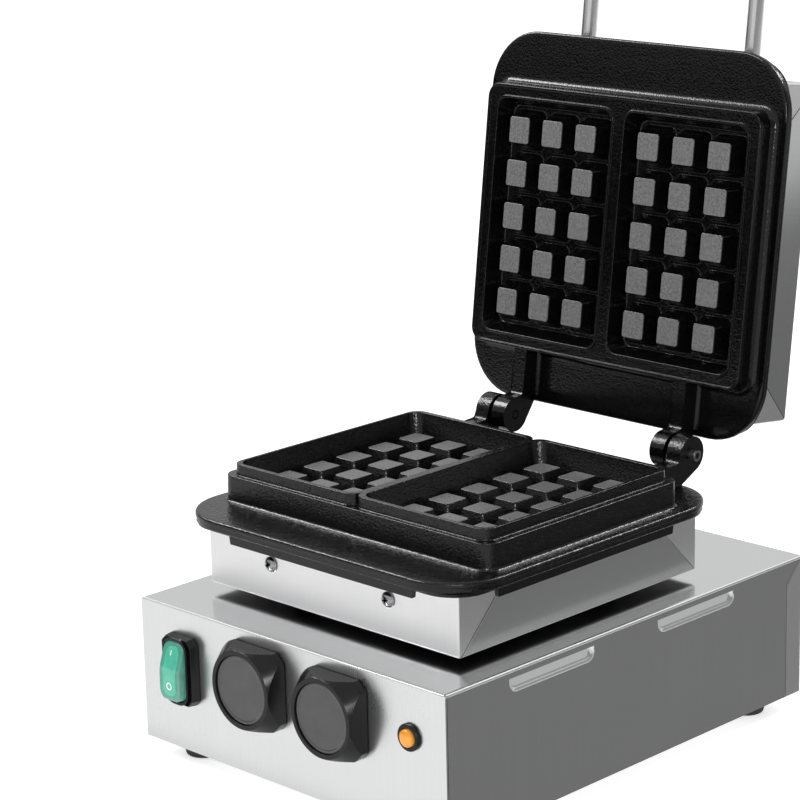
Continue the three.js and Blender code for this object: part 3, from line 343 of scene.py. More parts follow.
class Nodes:
    """The node tree of a material or of the world, in the making."""

    def __init__(self, name, kind="materials"):
        self.owner = getattr(bpy.data, kind).new(name)
        self.owner.use_nodes = True
        self.tree = self.owner.node_tree

    def set(self, socket, value):
        """Sets a socket, or links it to another node's output."""
        if isinstance(value, bpy.types.NodeSocket):
            self.tree.links.new(value, socket)
        else:
            socket.default_value = (*value, 1) if socket.type == "RGBA" else value

    def add(self, kind, output, inputs, **settings):
        """A node with its inputs set; gives one of its outputs."""
        node = self.tree.nodes.new(kind)
        for name, value in settings.items():
            setattr(node, name, value)
        for name, value in inputs.items():
            self.set(node.inputs[name], value)
        return node.outputs[output]

    def place(self, kind="Object"):
        return self.add("ShaderNodeTexCoord", kind, {})

    def noise(self, vector, scale, detail=2.0):
        return self.add("ShaderNodeTexNoise", "Fac", {"Vector": vector, "Scale": scale, "Detail": detail})

    def spread(self, value, low, high, start=0.3, end=0.7):
        """Takes a noise from start..end to low..high."""
        return self.add("ShaderNodeMapRange", "Result", {
            "Value": value, "From Min": start, "From Max": end, "To Min": low, "To Max": high})

    def blend(self, factor, first, second):
        """Mixes two colours or two sockets."""
        inputs = {"Factor": factor, MIX_A: first, MIX_B: second}
        return self.add("ShaderNodeMix", MIX_OUT, inputs, data_type="RGBA")

    def total(self, first, second):
        return self.add("ShaderNodeMath", 0, {0: first, 1: second}, operation="ADD")

    def bump(self, height, strength, distance, **normal):
        inputs = {"Height": height, "Strength": strength, "Distance": distance, **normal}
        return self.add("ShaderNodeBump", "Normal", inputs)

    def finished(self, sockets, shader="Principled BSDF"):
        """The material or world, with its shader's sockets set."""
        for name, value in sockets.items():
            self.set(self.tree.nodes[shader].inputs[name], value)
        return self.owner


def darker(color, share):
    return tuple(channel * (1 - share) for channel in color)


# Scales of noise, per metre
GRAIN_FINE, GRAIN_LONG, CLOUDS = 1400.0, 9.0, 14.0  # brush lines across and along, and patches
IRON_BROAD, IRON_PITS, IRON_PEEL = 90.0, 280.0, 800.0
PATCHES, LENS_PATCHES, SKIN = 75.0, 180.0, 1500.0
# How far the roughness strays
GRAIN_ROUGH, CLOUD_ROUGH = 0.005, 0.015
BROAD_ROUGH, PEEL_ROUGH = 0.03, 0.04
LENS_ROUGH = 0.12
# Heights of bumps, in metres
IRON_RELIEF, PLAIN_RELIEF, LENS_RELIEF = 0.00045, 0.00008, 0.00005


def brushed(name, color, rough=0.16, turn=0.0, contrast=0.03):
    """Brushed stainless sheet: its grain is upright on walls and runs to the rear on level faces."""
    nodes = Nodes(name)
    place, normal = (
        nodes.add("ShaderNodeVectorRotate", "Vector", {"Vector": nodes.place(kind), "Angle": turn},
                  rotation_type="X_AXIS")
        for kind in ("Object", "Normal"))
    walls, tops = (
        nodes.noise(nodes.add("ShaderNodeMapping", "Vector", {"Vector": place, "Scale": scale}), 1.0)
        for scale in ((GRAIN_FINE, GRAIN_FINE, GRAIN_LONG), (GRAIN_FINE, GRAIN_LONG, GRAIN_FINE)))
    up = nodes.add("ShaderNodeSeparateXYZ", "Z", {"Vector": normal})
    level = nodes.add("ShaderNodeMath", 0, {0: up}, operation="ABSOLUTE")
    grain = nodes.blend(nodes.spread(level, 0.0, 1.0, 0.6, 0.8), walls, tops)
    fine = nodes.spread(grain, rough - GRAIN_ROUGH, rough + GRAIN_ROUGH)
    broad = nodes.spread(nodes.noise(place, CLOUDS), -CLOUD_ROUGH, CLOUD_ROUGH)
    return nodes.finished({
        "Base Color": nodes.blend(nodes.spread(grain, 0.0, 1.0), darker(color, contrast), color),
        "Roughness": nodes.total(fine, broad),
        "Metallic": 1.0,
    })


def coated_iron(name, dark, light, rough, relief=IRON_RELIEF):
    """Cast iron under a satin black coating, its surface coarse from the mould."""
    nodes = Nodes(name)
    place = nodes.place()
    peel = nodes.noise(place, IRON_PEEL, 1.0)
    pits = nodes.bump(nodes.noise(place, IRON_PITS, 1.0), 0.2, relief / 2)
    broad = nodes.spread(nodes.noise(place, IRON_BROAD), rough - BROAD_ROUGH, rough + BROAD_ROUGH)
    return nodes.finished({
        "Base Color": nodes.blend(nodes.spread(peel, 0.0, 1.0, 0.42, 0.68), (dark,) * 3, (light,) * 3),
        "Roughness": nodes.total(broad, nodes.spread(peel, -PEEL_ROUGH, PEEL_ROUGH)),
        "Normal": nodes.bump(peel, 0.6, relief, Normal=pits),
        "IOR": 1.45,
    })


def plain(name, color, rough, metallic=0.0, vary=0.15, peel=0.1, ior=1.5, level=0.5):
    """Moulded, turned or pressed stuff with a slight variation of shade and surface."""
    nodes = Nodes(name)
    place = nodes.place()
    patches = nodes.spread(nodes.noise(place, PATCHES), 0.0, 1.0)
    skin = nodes.noise(place, SKIN, 3.0)
    return nodes.finished({
        "Base Color": nodes.blend(patches, darker(color, vary), color),
        "Roughness": nodes.spread(skin, rough * 0.85, min(1.0, rough * 1.15)),
        "Normal": nodes.bump(skin, peel, PLAIN_RELIEF),
        "Metallic": metallic,
        "IOR": ior,
        "Specular IOR Level": level,
    })


def lit_plastic(name, deep, bright, glow):
    """Translucent coloured plastic with a lamp behind it."""
    nodes = Nodes(name)
    place = nodes.place()
    color = nodes.blend(nodes.spread(nodes.noise(place, LENS_PATCHES), 0.2, 1.0), deep, bright)
    skin = nodes.noise(place, SKIN)
    return nodes.finished({
        "Base Color": color,
        "Roughness": nodes.spread(skin, LENS_ROUGH * 0.8, LENS_ROUGH * 1.2),
        "Normal": nodes.bump(skin, 0.05, LENS_RELIEF),
        "Emission Color": color,
        "Emission Strength": glow,
        "Subsurface Weight": 0.2,
        "Subsurface Radius": (0.002, 0.003, 0.002),
        "Coat Weight": 0.5,
        "Coat Roughness": 0.08,
    })


STEEL = (0.86, 0.865, 0.87)
steel = brushed("stainless_brushed", STEEL)
steel_front = brushed("stainless_front", STEEL, 0.28)
steel_panel = brushed("stainless_panel", STEEL, 0.18)
# the tab steels are lighter copies of the steel: painted light for the brighter light the turned tabs catch; the
# trays' pans and the rear take them
lit_steel_tab = brushed("stainless_tab", (0.93, 0.93, 0.935), 0.34, contrast=0.02)
steel_lid = brushed("stainless_lid", STEEL, turn=open_angle)
lit_steel_lid_tab = brushed("stainless_lid_tab", (0.9, 0.9, 0.905), 0.33, turn=open_angle, contrast=0.02)
iron = coated_iron("coated_iron", 0.001, 0.005, 0.13)
# lighter block tops: a painted sheen, standing in for the light that the flat tops reflect
painted_sheen_iron = coated_iron("worn_block_tops", 0.09, 0.13, 0.3, 0.0001)
lid_iron = coated_iron("coated_iron_lid", 0.001, 0.003, 0.12, 0.00018)
screw_steel = plain("screw_steel", (0.42, 0.42, 0.43), 0.12, metallic=1.0, vary=0.05, peel=0.02)
# near-black steel for the lower tray's downward faces: a painted shade for the dark gap under the tray
painted_underside_shade = plain("scorched_steel", (0.02, 0.019, 0.018), 0.5, vary=0.3, level=0.2)
# near-black painted shade: the screws' cross recesses and the shadow lines along the tray mitres
dark_recess = plain("dark_recess", (0.005, 0.005, 0.005), 0.6, level=0.1)
handle_steel = plain("handle_steel", (0.8, 0.8, 0.81), 0.2, metallic=1.0, vary=0.05, peel=0.05)
pin_steel = plain("pin_steel", (0.03, 0.03, 0.032), 0.32, vary=0.3, ior=1.9, level=0.75)
black_satin = plain("black_plastic_satin", (0.006, 0.006, 0.0063), 0.2, vary=0.2, peel=0.06, level=0.32)
# the dish's plastic is glossy; its lighter grey base is a painted sheen standing in for its reflection
painted_sheen_dish = plain("black_plastic_dish", (0.045, 0.045, 0.047), 0.14, vary=0.2, peel=0.02, level=0.7)
rubber = plain("rubber", (0.02, 0.02, 0.02), 0.7, vary=0.25, peel=0.3)
aluminium = plain("aluminium", (0.7, 0.71, 0.72), 0.35, metallic=1.0)
element_steel = plain("element_steel", (0.25, 0.22, 0.2), 0.45, metallic=1.0, vary=0.4)
felt = plain("insulation_felt", (0.78, 0.74, 0.66), 0.95, vary=0.2, peel=0.9)
ceramic = plain("ceramic", (0.85, 0.83, 0.78), 0.4, vary=0.06)
brass = plain("brass", (0.76, 0.6, 0.3), 0.25, metallic=1.0)
green = lit_plastic("green_lens", (0.06, 0.22, 0.16), (0.09, 0.32, 0.24), 0.15)
green_face = lit_plastic("green_face", (0.06, 0.38, 0.26), (0.09, 0.44, 0.31), 0.16)
amber = lit_plastic("amber_lens", (0.6, 0.2, 0.01), (0.85, 0.36, 0.04), 0.15)
white_mark = plain("white_mark", (0.9, 0.92, 0.9), 0.4, vary=0.03)

BY_SLOT = {
    "stainless": steel, "cast_iron": iron, "screw_steel": screw_steel, "pin_steel": pin_steel,
    "black_plastic": black_satin, "green_lens": green, "amber_lens": amber, "rubber": rubber,
    "aluminium": aluminium, "element_steel": element_steel, "insulation_felt": felt,
    "ceramic": ceramic, "brass": brass,
}


# Castings, drawn about the plate's middle, the flange's face at height zero and the baking side up
def rim_outline(outset):
    """The two rims' common outline, drawn in at the middle of the front and of the rear."""
    radius = RIM_R + outset
    inner = RIM_R - (RIM_W / 2 - RIM_X)
    outer, far = RIM_X + RIM_W / 2 - RIM_R, RIM_D / 2 - RIM_R
    half = 0.0 if radius <= inner else acos(inner / radius)
    notch = far + sqrt(radius ** 2 - inner ** 2) if radius > inner else far - inner + radius
    points = [(0.0, -notch)]
    for cx, cy, start, end in ((inner, -far, -pi + half, -pi / 2), (outer, -far, -pi / 2, 0.0),
                               (outer, far, 0.0, pi / 2), (inner, far, pi / 2, pi - half)):
        for i in range(CORNER_STEPS + 1):
            angle = start + (end - start) * i / CORNER_STEPS
            points.append((cx + radius * cos(angle), cy + radius * sin(angle)))
    points = [points[0], *points[2:-1]]
    return points + [(-x, -y) for x, y in points]


def raised_outline(outset):
    return rounded(
        RAISED_W + 2 * outset, RAISED_D + 2 * outset, RAISED_R + outset, FLANGE_STEPS)


def flange_outline(inset, z):
    """The flange's outline drawn in by inset; under the flange it follows the brim's tighter corners."""
    over = z > -FLANGE_LIP or inset < BRIM_INSET / 2
    radius = FLANGE_R - inset if over else BRIM_R + BRIM_INSET - inset
    return rounded(FLANGE_W - 2 * inset, FLANGE_D - 2 * inset, radius, FLANGE_STEPS)


def cavity_outline(side):
    def outline(outset):
        return rounded(
            FLOOR_W + 2 * outset, FLOOR_D + 2 * outset, FLOOR_R + outset / 3,
            CORNER_STEPS, (side * CAVITY_X, 0))
    return outline


def block_outline(x, y):
    def outline(half):
        share = (half - BLOCK_TOP) / (BLOCK_BASE - BLOCK_TOP)
        radius = BLOCK_TOP_R + (BLOCK_BASE_R - BLOCK_TOP_R) * max(share, 0.0) + min(half - BLOCK_TOP, 0.0)
        return rounded(2 * half, 2 * half, max(radius, GAP), BLOCK_STEPS, (x, y))
    return outline


def flange_rows():
    under = FLANGE_T + BRIM_DROP
    brim_in = BRIM_INSET + BRIM_W
    return soften([
        (FLANGE_LIP, 0, 0), (0, 0, FLANGE_TOP_R), (0, -FLANGE_LIP, FLANGE_EDGE_R),
        (LAYER_STEP, -FLANGE_LIP - GAP, GAP / 2), (LAYER_STEP, -FLANGE_T, FLANGE_EDGE_R),
        (BRIM_INSET, -FLANGE_T, 0.7), (BRIM_INSET + GAP, -under, BRIM_EDGE_R),
        (brim_in, -under, 0.6), (brim_in, -FLANGE_T, 0), (brim_in + SHEET, -FLANGE_T, 0),
    ])


def block_places(side):
    """The middles of one cavity's blocks."""
    return [
        (side * CAVITY_X + (column - (COLUMNS - 1) / 2) * PITCH, (row - (ROWS - 1) / 2) * PITCH)
        for column in range(COLUMNS) for row in range(ROWS)
    ]


def cavity(solid, side, mouth, block_z):
    """One cavity with its blocks, below the rows of its mouth; gives the opening's ring."""
    floor_z = block_z - GROOVE
    rows = soften([*mouth, (0, floor_z, FLOOR_EDGE_R), (-FLOOR_RUN, floor_z, 0)])
    rings = solid.stack(rows, cavity_outline(side))
    block = soften([
        (BLOCK_BASE + 1.0, floor_z, 0), (BLOCK_BASE, floor_z, BLOCK_FOOT_R),
        (BLOCK_TOP, block_z, BLOCK_EDGE_R), (BLOCK_TOP - SHEET, block_z, 0),
    ])
    feet = []
    for x, y in block_places(side):
        layers = solid.stack(block, block_outline(x, y))
        solid.cap(layers[-1])
        feet.append(layers[0])
    solid.fill(rings[-1], *feet)
    return rings[0]


def rimmed_top(solid, edge, land_z, block_z):
    """The lower plate's ledge and raised rims, with the cavities inside them."""
    rim_z = land_z + RIM_H
    mouth = [(WALL_AT_RIM + 0.9, rim_z, 0), (WALL_AT_RIM, rim_z, RIM_EDGE_R),
             (WALL_AT_BLOCKS, block_z, 0)]
    cavities = [cavity(solid, side, mouth, block_z) for side in (-1, 1)]
    rows = soften([(1.0, land_z, 0), (0, land_z, RIM_FOOT_R), (-RIM_DRAFT, rim_z, RIM_EDGE_R),
                   (-RIM_DRAFT - RIM_EDGE_R, rim_z, 0)])
    rings = solid.stack(rows, rim_outline)
    solid.fill(edge, rings[0])
    solid.fill(rings[-1], *cavities)


def channelled_top(solid, edge, land_z, block_z):
    """The upper plate's land with its shallow channel, and the cavities with their lips."""
    lip, low = WALL_AT_BLOCKS + LIP, land_z - CHANNEL
    mouth = [(lip + 0.6, low, 0), (lip + 0.1, low, CHANNEL_R), (lip, land_z, LIP_R),
             (WALL_AT_BLOCKS, land_z, 0.5), (WALL_AT_BLOCKS - 0.2, block_z - 0.6, 0)]
    cavities = [cavity(solid, side, mouth, block_z) for side in (-1, 1)]
    rows = soften([(-SHEET, land_z, 0), (-CHANNEL_INSET, land_z, CHANNEL_R),
                   (-CHANNEL_INSET - GAP, low, CHANNEL_R), (-CHANNEL_INSET - 1.0, low, 0)])
    rings = solid.loft([edge, *(solid.ring(raised_outline(size), z) for size, z in rows[1:])])
    solid.fill(rings[-1], *cavities)


def plate_body(name, top, land_z, block_z, foot_r):
    """A casting's flange and raised block, with its baking face made by top."""
    solid = Solid()
    wall = soften([
        (-SHEET, land_z, 0), (0, land_z, LAND_EDGE_R), (RAISED_DRAFT, 0, foot_r), (2 * foot_r, 0, 0),
    ], steps=2 * SOFT_STEPS)
    rings = [solid.ring(raised_outline(outset), z) for outset, z in wall]
    rings += [solid.ring(flange_outline(inset, z), z) for inset, z in flange_rows()]
    solid.loft(rings)
    solid.cap(rings[-1])
    top(solid, rings[0], land_z, block_z)
    return solid.made(name)


def skirt(length, place):
    """One of the flange's lower walls: its ends slant and round into the brim."""
    half = length / 2
    right = [(half - SKIRT_FOOT, -FLANGE_T - SKIRT_DROP, 1.0), (half, -FLANGE_T - BRIM_DROP + GAP, 1.0),
             (half + SKIRT_SLANT, -FLANGE_T / 2, 0)]
    left = [(-x, z, radius) for x, z, radius in right]
    outline = soften([left[0], *right, left[2], left[1]], closed=True)
    return slab(outline, 0, SKIRT_T, bevel=0.5).made("tool", place @ ALONG_Y)


def tangent(point, centre, radius, side):
    """The angle at which a line from a point touches a circle."""
    away = Vector(point) - Vector(centre)
    return atan2(away.y, away.x) + side * acos(radius / away.length)


def hinge_rib(x0, x1, axis_y, axis_z, proud):
    """The arm from the raised block over the flange's rear edge, with its knuckle."""
    wall = RAISED_D / 2 - SHEET
    edge = FLANGE_D / 2
    start = (edge - RIB_HEEL, 0)
    neck = (axis_y - RIB_NECK, proud)
    axis = (axis_y, axis_z)
    first = tangent(start, axis, KNUCKLE_R, 1)
    last = tangent(neck, axis, KNUCKLE_R, -1)
    if last < first:
        last += 2 * pi
    arc = []
    for i in range(ROUND_STEPS + 1):
        angle = first + (last - first) * i / ROUND_STEPS
        arc.append((axis_y + KNUCKLE_R * cos(angle), axis_z + KNUCKLE_R * sin(angle)))
    corners = [(wall, -FLANGE_T / 2, 0), (start[0], -FLANGE_T / 2, 0), (*start, RIB_HEEL_R)]
    corners += [(y, z, 0) for y, z in arc]
    corners += [(*neck, RIB_NECK_R), (wall, proud, 0)]
    return slab(soften(corners, closed=True), x0, x1, bevel=RIB_BEVEL, steps=3).made("tool", ALONG_X)


def rib_foot(x, way):
    """The cast fillet along the side of a rib where it stands on the flange."""
    outline = [(0, -SHEET), (RIB_FILLET, -SHEET)]
    for i in range(SOFT_STEPS + 1):
        angle = radians(90 * i / SOFT_STEPS)
        outline.append((RIB_FILLET * (1 - sin(angle)), RIB_FILLET * (1 - cos(angle)) + 0.01))
    outline = [(x + way * (u - GAP), v) for u, v in outline]
    return slab(outline, RAISED_D / 2, FLANGE_D / 2 - RIB_HEEL - SHEET).made("tool", SWAPPED)


def mark_painted_sheen_tops(mesh, block_z):
    """The blocks' tops get a painted sheen: their faces take the second material, a lighter iron that stands in
    for the light the flat tops reflect.
    """
    places = block_places(-1) + block_places(1)
    for face in mesh.polygons:
        x, y, z = face.center / MM
        level = face.normal.z > 0.9 and abs(z - block_z) < GAP
        face.material_index = int(level and any(
            max(abs(x - a), abs(y - b)) < BLOCK_TOP for a, b in places))


def casting(name, top, land_z, block_z, foot_r, knuckle_x, axis_z, proud, place):
    body = plate_body(name, top, land_z, block_z, foot_r)
    front, side_reach = FLANGE_D / 2 - SKIRT_INSET, FLANGE_W / 2 - SKIRT_INSET
    tools = []
    for turn, length, reach, way in ((0, SKIRT_FRONT, front, 1), (90, SKIRT_SIDE, side_reach, -1),
                                     (180, SKIRT_FRONT, front, -1), (270, SKIRT_SIDE, side_reach, 1)):
        spot = Matrix.Rotation(radians(turn), 4, "Z") @ at(way * SKIRT_SHIFT, -reach + SKIRT_T, 0)
        tools.append(skirt(length, spot))
    for side in (-1, 1):
        x0, x1 = sorted((side * knuckle_x, side * (knuckle_x - KNUCKLE_W)))
        tools.append(hinge_rib(x0, x1, FLANGE_D / 2 + HINGE_BEHIND, axis_z, proud))
        tools += [rib_foot(x0, -1), rib_foot(x1, 1)]
    combine(body, tools, "UNION")
    mark_painted_sheen_tops(body.data, block_z)
    return moved(body, place)


lower_plate = casting(
    "lower_plate", rimmed_top, RAISED_H, RAISED_H - BLOCK_DROP, LOWER_FOOT_R, KNUCKLE_X, HINGE_UP,
    RIB_PROUD, at(0, plate_y, flange_top))
dressed(lower_plate, iron, "cabinet", "cast_iron", "lower_casting", second=painted_sheen_iron)

upper_plate = casting(
    "upper_plate", channelled_top, UPPER_RAISED_H, UPPER_RAISED_H, UPPER_FOOT_R,
    KNUCKLE_X - KNUCKLE_W - KNUCKLE_GAP, upper_face - hinge.z, UPPER_RIB_PROUD,
    OPEN @ at(0, plate_y, upper_face) @ Matrix.Rotation(pi, 4, "Y"))
dressed(upper_plate, lid_iron, "lid", "cast_iron", "upper_casting", second=painted_sheen_iron)


# Hinge pins: dark tubes with rounded noses
def hinge_pin(name, node, place):
    length = 2 * KNUCKLE_W + KNUCKLE_GAP + PIN_NOSE
    rows = soften([
        (PIN_BORE, PIN_DEEP, 0), (PIN_BORE, 0, 0.2), (PIN_R, 0, PIN_EDGE_R), (PIN_R, length, NOSE_EDGE_R),
        (PIN_BORE, length, 0.3), (PIN_BORE, length - NOSE_DEEP, 0),
    ])
    solid = turned([(0, PIN_DEEP), *rows, (0, length - NOSE_DEEP)], SCREW_STEPS)
    dressed(solid.made(name, place), pin_steel, "cabinet", "pin_steel", node)


PIN_START = KNUCKLE_X - 2 * KNUCKLE_W - KNUCKLE_GAP
hinge_pin("pin_right", "hinge_pin_right", at(PIN_START, hinge.y, hinge.z) @ TO_RIGHT)
hinge_pin("pin_left", "hinge_pin_left", at(-PIN_START, hinge.y, hinge.z) @ TO_LEFT)


# Heater housings: folded trays with mitred side panels
TRAY_PROUD = 0.35  # how far a side panel stands out from the tabs beside it
TRAY_BEND = 1.5
TRAY_W, TRAY_D = house_high.x - house_low.x, house_high.y - house_low.y
PANEL_UP, PANEL_DOWN = 0.8, 0.2  # a side panel's edges, from the fold and from the open edge
MITRE = 0.45  # width of the painted shadow line along the mitres
tray_y = (house_low.y + house_high.y) / 2


def tray_pan(height):
    """The tray without its side panels, its open edge up."""
    solid = Solid()
    rows = soften([
        (TRAY_BEND * 2, 0, 0), (0, 0, TRAY_BEND), (0, height, 0.2), (SHEET, height, 0.2), (SHEET, SHEET, 0),
    ])
    rings = solid.stack(rows, lambda inset: rounded(
        TRAY_W - 2 * (TRAY_PROUD + inset), TRAY_D - 2 * inset, TRAY_BEND - inset))
    solid.cap(rings[0], rings[-1])
    return solid


def tray(name, height, place, material, lit_tab_material, body, node, under=None):
    # the pan takes the lighter tab steel, which is painted light
    pan = tray_pan(height).made(name, place)
    # the downward faces take the painted underside shade when one is given
    if under:
        for face in pan.data.polygons:
            face.material_index = int(face.normal.z < -0.9)
    dressed(pan, lit_tab_material, body, "stainless", node, second=under)
    half, reach = TRAY_D / 2 - GAP, TRAY_W / 2
    panel = [(-half + TRAY_BEND, PANEL_UP, 0), (half - TRAY_BEND, PANEL_UP, 0),
             (half - height, height - PANEL_DOWN, 0), (-half + height, height - PANEL_DOWN, 0)]
    shadow = [(x + (MITRE if x > 0 else -MITRE), z) for x, z, _ in panel]
    for label, side in (("left", -1), ("right", 1)):
        low, high = sorted((side * reach, side * (reach - SHEET)))
        sheet = slab(soften(panel, closed=True), low, high, bevel=0.25)
        dressed(sheet.made(f"{name}_{label}", place @ ALONG_X), material, body, "stainless")
        # a near-black strip behind each mitre: a painted shadow line along the seam
        low, high = sorted((side * (reach - SHEET * 0.9), side * (reach - TRAY_PROUD + MITRE / 6)))
        line = slab(shadow, low, high)
        dressed(line.made(f"{name}_{label}_seam", place @ ALONG_X), dark_recess, body, "stainless")


tray("lower_tray", house_high.z - house_low.z, at(0, tray_y, house_low.z), steel_panel, lit_steel_tab,
     "cabinet", "lower_housing", under=painted_underside_shade)
UPPER_TRAY_H = 40.6
lid_top = upper_back + GAP + UPPER_TRAY_H
LID_TRAY = OPEN @ at(0, tray_y, lid_top) @ Matrix.Rotation(pi, 4, "Y")
tray("upper_tray", UPPER_TRAY_H, LID_TRAY, steel_lid, lit_steel_lid_tab, "lid", "upper_housing")


# Screws with domed heads and a cross recess
HEAD_R, HEAD_H, HEAD_EDGE = 4.7, 3.1, 0.7
SHANK_R, SHANK_L = 2.0, 3.0
CROSS_L, CROSS_W, CROSS_DEPTH = 2.9, 1.1, 1.9
DOME_STEPS = 8


def cross_outline(share):
    """A cross with waisted arms, drawn in by share."""
    length, width = CROSS_L * share, CROSS_W * share
    corner = width * 0.75
    points = []
    for turn in range(4):
        angle = turn * pi / 2
        for x, y in ((length, -width / 2), (length, width / 2), (corner, corner)):
            points.append((x * cos(angle) - y * sin(angle), x * sin(angle) + y * cos(angle)))
    return points


def mark_cross(mesh):
    """The faces inside the recess take the second material, a painted shade."""
    floor = HEAD_H - CROSS_DEPTH + GAP / 2
    for face in mesh.polygons:
        x, y, z = face.center / MM
        inside = hypot(x, y) < CROSS_L and 0 < z < HEAD_H - GAP / 2
        face.material_index = int(inside and (abs(face.normal.z) < 0.6 or z < floor))


def pan_screw(name, place, body, node):
    rise = HEAD_H - HEAD_EDGE
    sphere = (HEAD_R ** 2 + rise ** 2) / (2 * rise)
    dome = []
    for i in range(DOME_STEPS):
        r = HEAD_R * (1 - i / DOME_STEPS)
        dome.append((r, HEAD_EDGE + sqrt(sphere ** 2 - r ** 2) - (sphere - rise)))
    head = turned([(0, -SHANK_L), (SHANK_R, -SHANK_L), (SHANK_R, 0), (HEAD_R - 0.2, 0), *dome,
                   (0, HEAD_H)], SCREW_STEPS).made(name)
    cutter = Solid()
    cutter.cap(*cutter.stack([(0.5, HEAD_H - CROSS_DEPTH), (1.0, HEAD_H + 0.5)], cross_outline))
    combine(head, [cutter.made("tool")], "DIFFERENCE")
    mark_cross(head.data)
    dressed(moved(head, place), screw_steel, body, "screw_steel", node, second=dark_recess)


SCREW_SPREAD, SCREW_UP = 96.0, 22.8
TURNS = {("front", "left"): 20, ("front", "right"): 12, ("rear", "left"): 50, ("rear", "right"): 33}
for (end_name, side_name), spin in TURNS.items():
    end = -1 if end_name == "front" else 1
    x = (-1 if side_name == "left" else 1) * SCREW_SPREAD / 2
    y = tray_y + end * (TRAY_D / 2 + GAP / 2)
    facing = (TO_FRONT if end < 0 else TO_REAR) @ Matrix.Rotation(radians(spin), 4, "Z")
    pan_screw(f"screw_low_{end_name}_{side_name}", at(x, y, house_low.z + SCREW_UP) @ facing,
              "cabinet", f"lower_screw_{end_name}_{side_name}")
    pan_screw(f"screw_lid_{end_name}_{side_name}", OPEN @ at(x, y, lid_top - SCREW_UP) @ facing,
              "lid", f"upper_screw_{end_name}_{side_name}")


# Cabinet
cabinet_low, cabinet_high = cover_low.z, cover_high.z
half_width = cover_high.x
REAR_TAB = 15.5
SEAM = 0.4
COVER_BEND = 2.2
FRONT_BEND = 1.6
LOUVER_L, LOUVER_H, LOUVER_SINK, LOUVER_DOWN = 72.0, 9.0, 4.4, 5.0
LOUVER_R, LOUVER_LIP, LOUVER_ROLL = 6.5, 1.2, 3.0
LOUVER_YS = (86.5, 214.0)  # behind the cabinet's front
LOUVER_COLUMNS, LOUVER_ROWS = 64, 20
BEND_STEPS = 8


def louver_outline(s):
    """How far up the blade's lower edge lies at s along it."""
    past = max(abs(s) - (LOUVER_L / 2 - LOUVER_R), 0.0)
    return LOUVER_R - sqrt(max(LOUVER_R ** 2 - past ** 2, 0.0))


def louver_depth(s, up):
    """The blade's depth: it rolls in from the curved edge and then leans back up to the slit."""
    past = max(abs(s) - (LOUVER_L / 2 - LOUVER_R), 0.0)
    below = max(LOUVER_R - up, 0.0)
    inside = LOUVER_R - hypot(past, below) if past > 0 or below > 0 else LOUVER_R
    share = min(max(inside, 0.0) / LOUVER_ROLL, 1.0)
    rolled = share ** 2 * (3 - 2 * share)
    lean = max(up - LOUVER_ROLL / 2, 0.0) / (LOUVER_H - LOUVER_ROLL / 2)
    return rolled * (LOUVER_LIP + (LOUVER_SINK - LOUVER_LIP) * lean)


def louver(solid, side, spot_y):
    """One louver pressed into a side; gives its edge, with a slit along the top."""
    base = cabinet_high - LOUVER_DOWN - LOUVER_H
    grid = []
    for i in range(LOUVER_COLUMNS + 1):
        # columns crowd towards the ends, where the outline curves
        s = -LOUVER_L / 2 * cos(pi * i / LOUVER_COLUMNS)
        low = louver_outline(s)
        heights = [low + (LOUVER_H - low) * j / LOUVER_ROWS for j in range(LOUVER_ROWS + 1)]
        grid.append(solid.ring([
            (side * (half_width - louver_depth(s, up)), spot_y + s, base + up) for up in heights]))
    for left, right in zip(grid, grid[1:]):
        solid.strip(list(zip(left, right)))
    slit = solid.ring([(side * half_width, *column[-1].co.yz) for column in grid[1:-1]])
    bottom = [column[0] for column in grid]
    return bottom + grid[-1][1:] + slit[::-1] + grid[0][:0:-1]


def side_sheet(solid, side):
    """One side of the cover with its two louvers, and the outline's points at the top."""
    front, seam_y = whole_front + FRONT_BEND, whole_rear - REAR_TAB
    high = cabinet_high - COVER_BEND
    outer = solid.ring([(side * half_width, y, z) for y, z in (
        (front, cabinet_low), (seam_y, cabinet_low), (seam_y, cabinet_high - REAR_TAB),
        (whole_rear - COVER_BEND, high), (front, high))])
    solid.fill(outer, *[louver(solid, side, whole_front + spot) for spot in LOUVER_YS])
    return outer[3], outer[4]


def cover():
    """Top and sides in one sheet, with round bends between them."""
    solid = Solid()
    ends = {side: side_sheet(solid, side) for side in (-1, 1)}
    tops = []
    for side in (-1, 1):
        row = [ends[side]]
        for cosine, sine in quarter(BEND_STEPS):
            x = side * (half_width - COVER_BEND + COVER_BEND * cosine)
            z = cabinet_high - COVER_BEND + COVER_BEND * sine
            rear = whole_rear - (cabinet_high - z) - SEAM
            row.append(solid.ring([(x, rear, z), (x, whole_front + FRONT_BEND, z)]))
        solid.strip(row)
        tops.append(row[-1])
    solid.strip(tops)
    return solid


def sheet_piece(name, solid, material, node):
    """A piece of sheet with its inner face, so that its cut edges show a thickness."""
    obj = solid.made(name)
    modifier = obj.modifiers.new("sheet", "SOLIDIFY")
    modifier.thickness = SHEET * MM
    modifier.offset = -1
    modifier.use_even_offset = True
    applied(obj)
    dressed(obj, material, "cabinet", "stainless", node)


def quarter(steps):
    """The cosines and sines of a quarter turn's steps, without its start."""
    return [(cos(pi / 2 * i / steps), sin(pi / 2 * i / steps)) for i in range(1, steps + 1)]


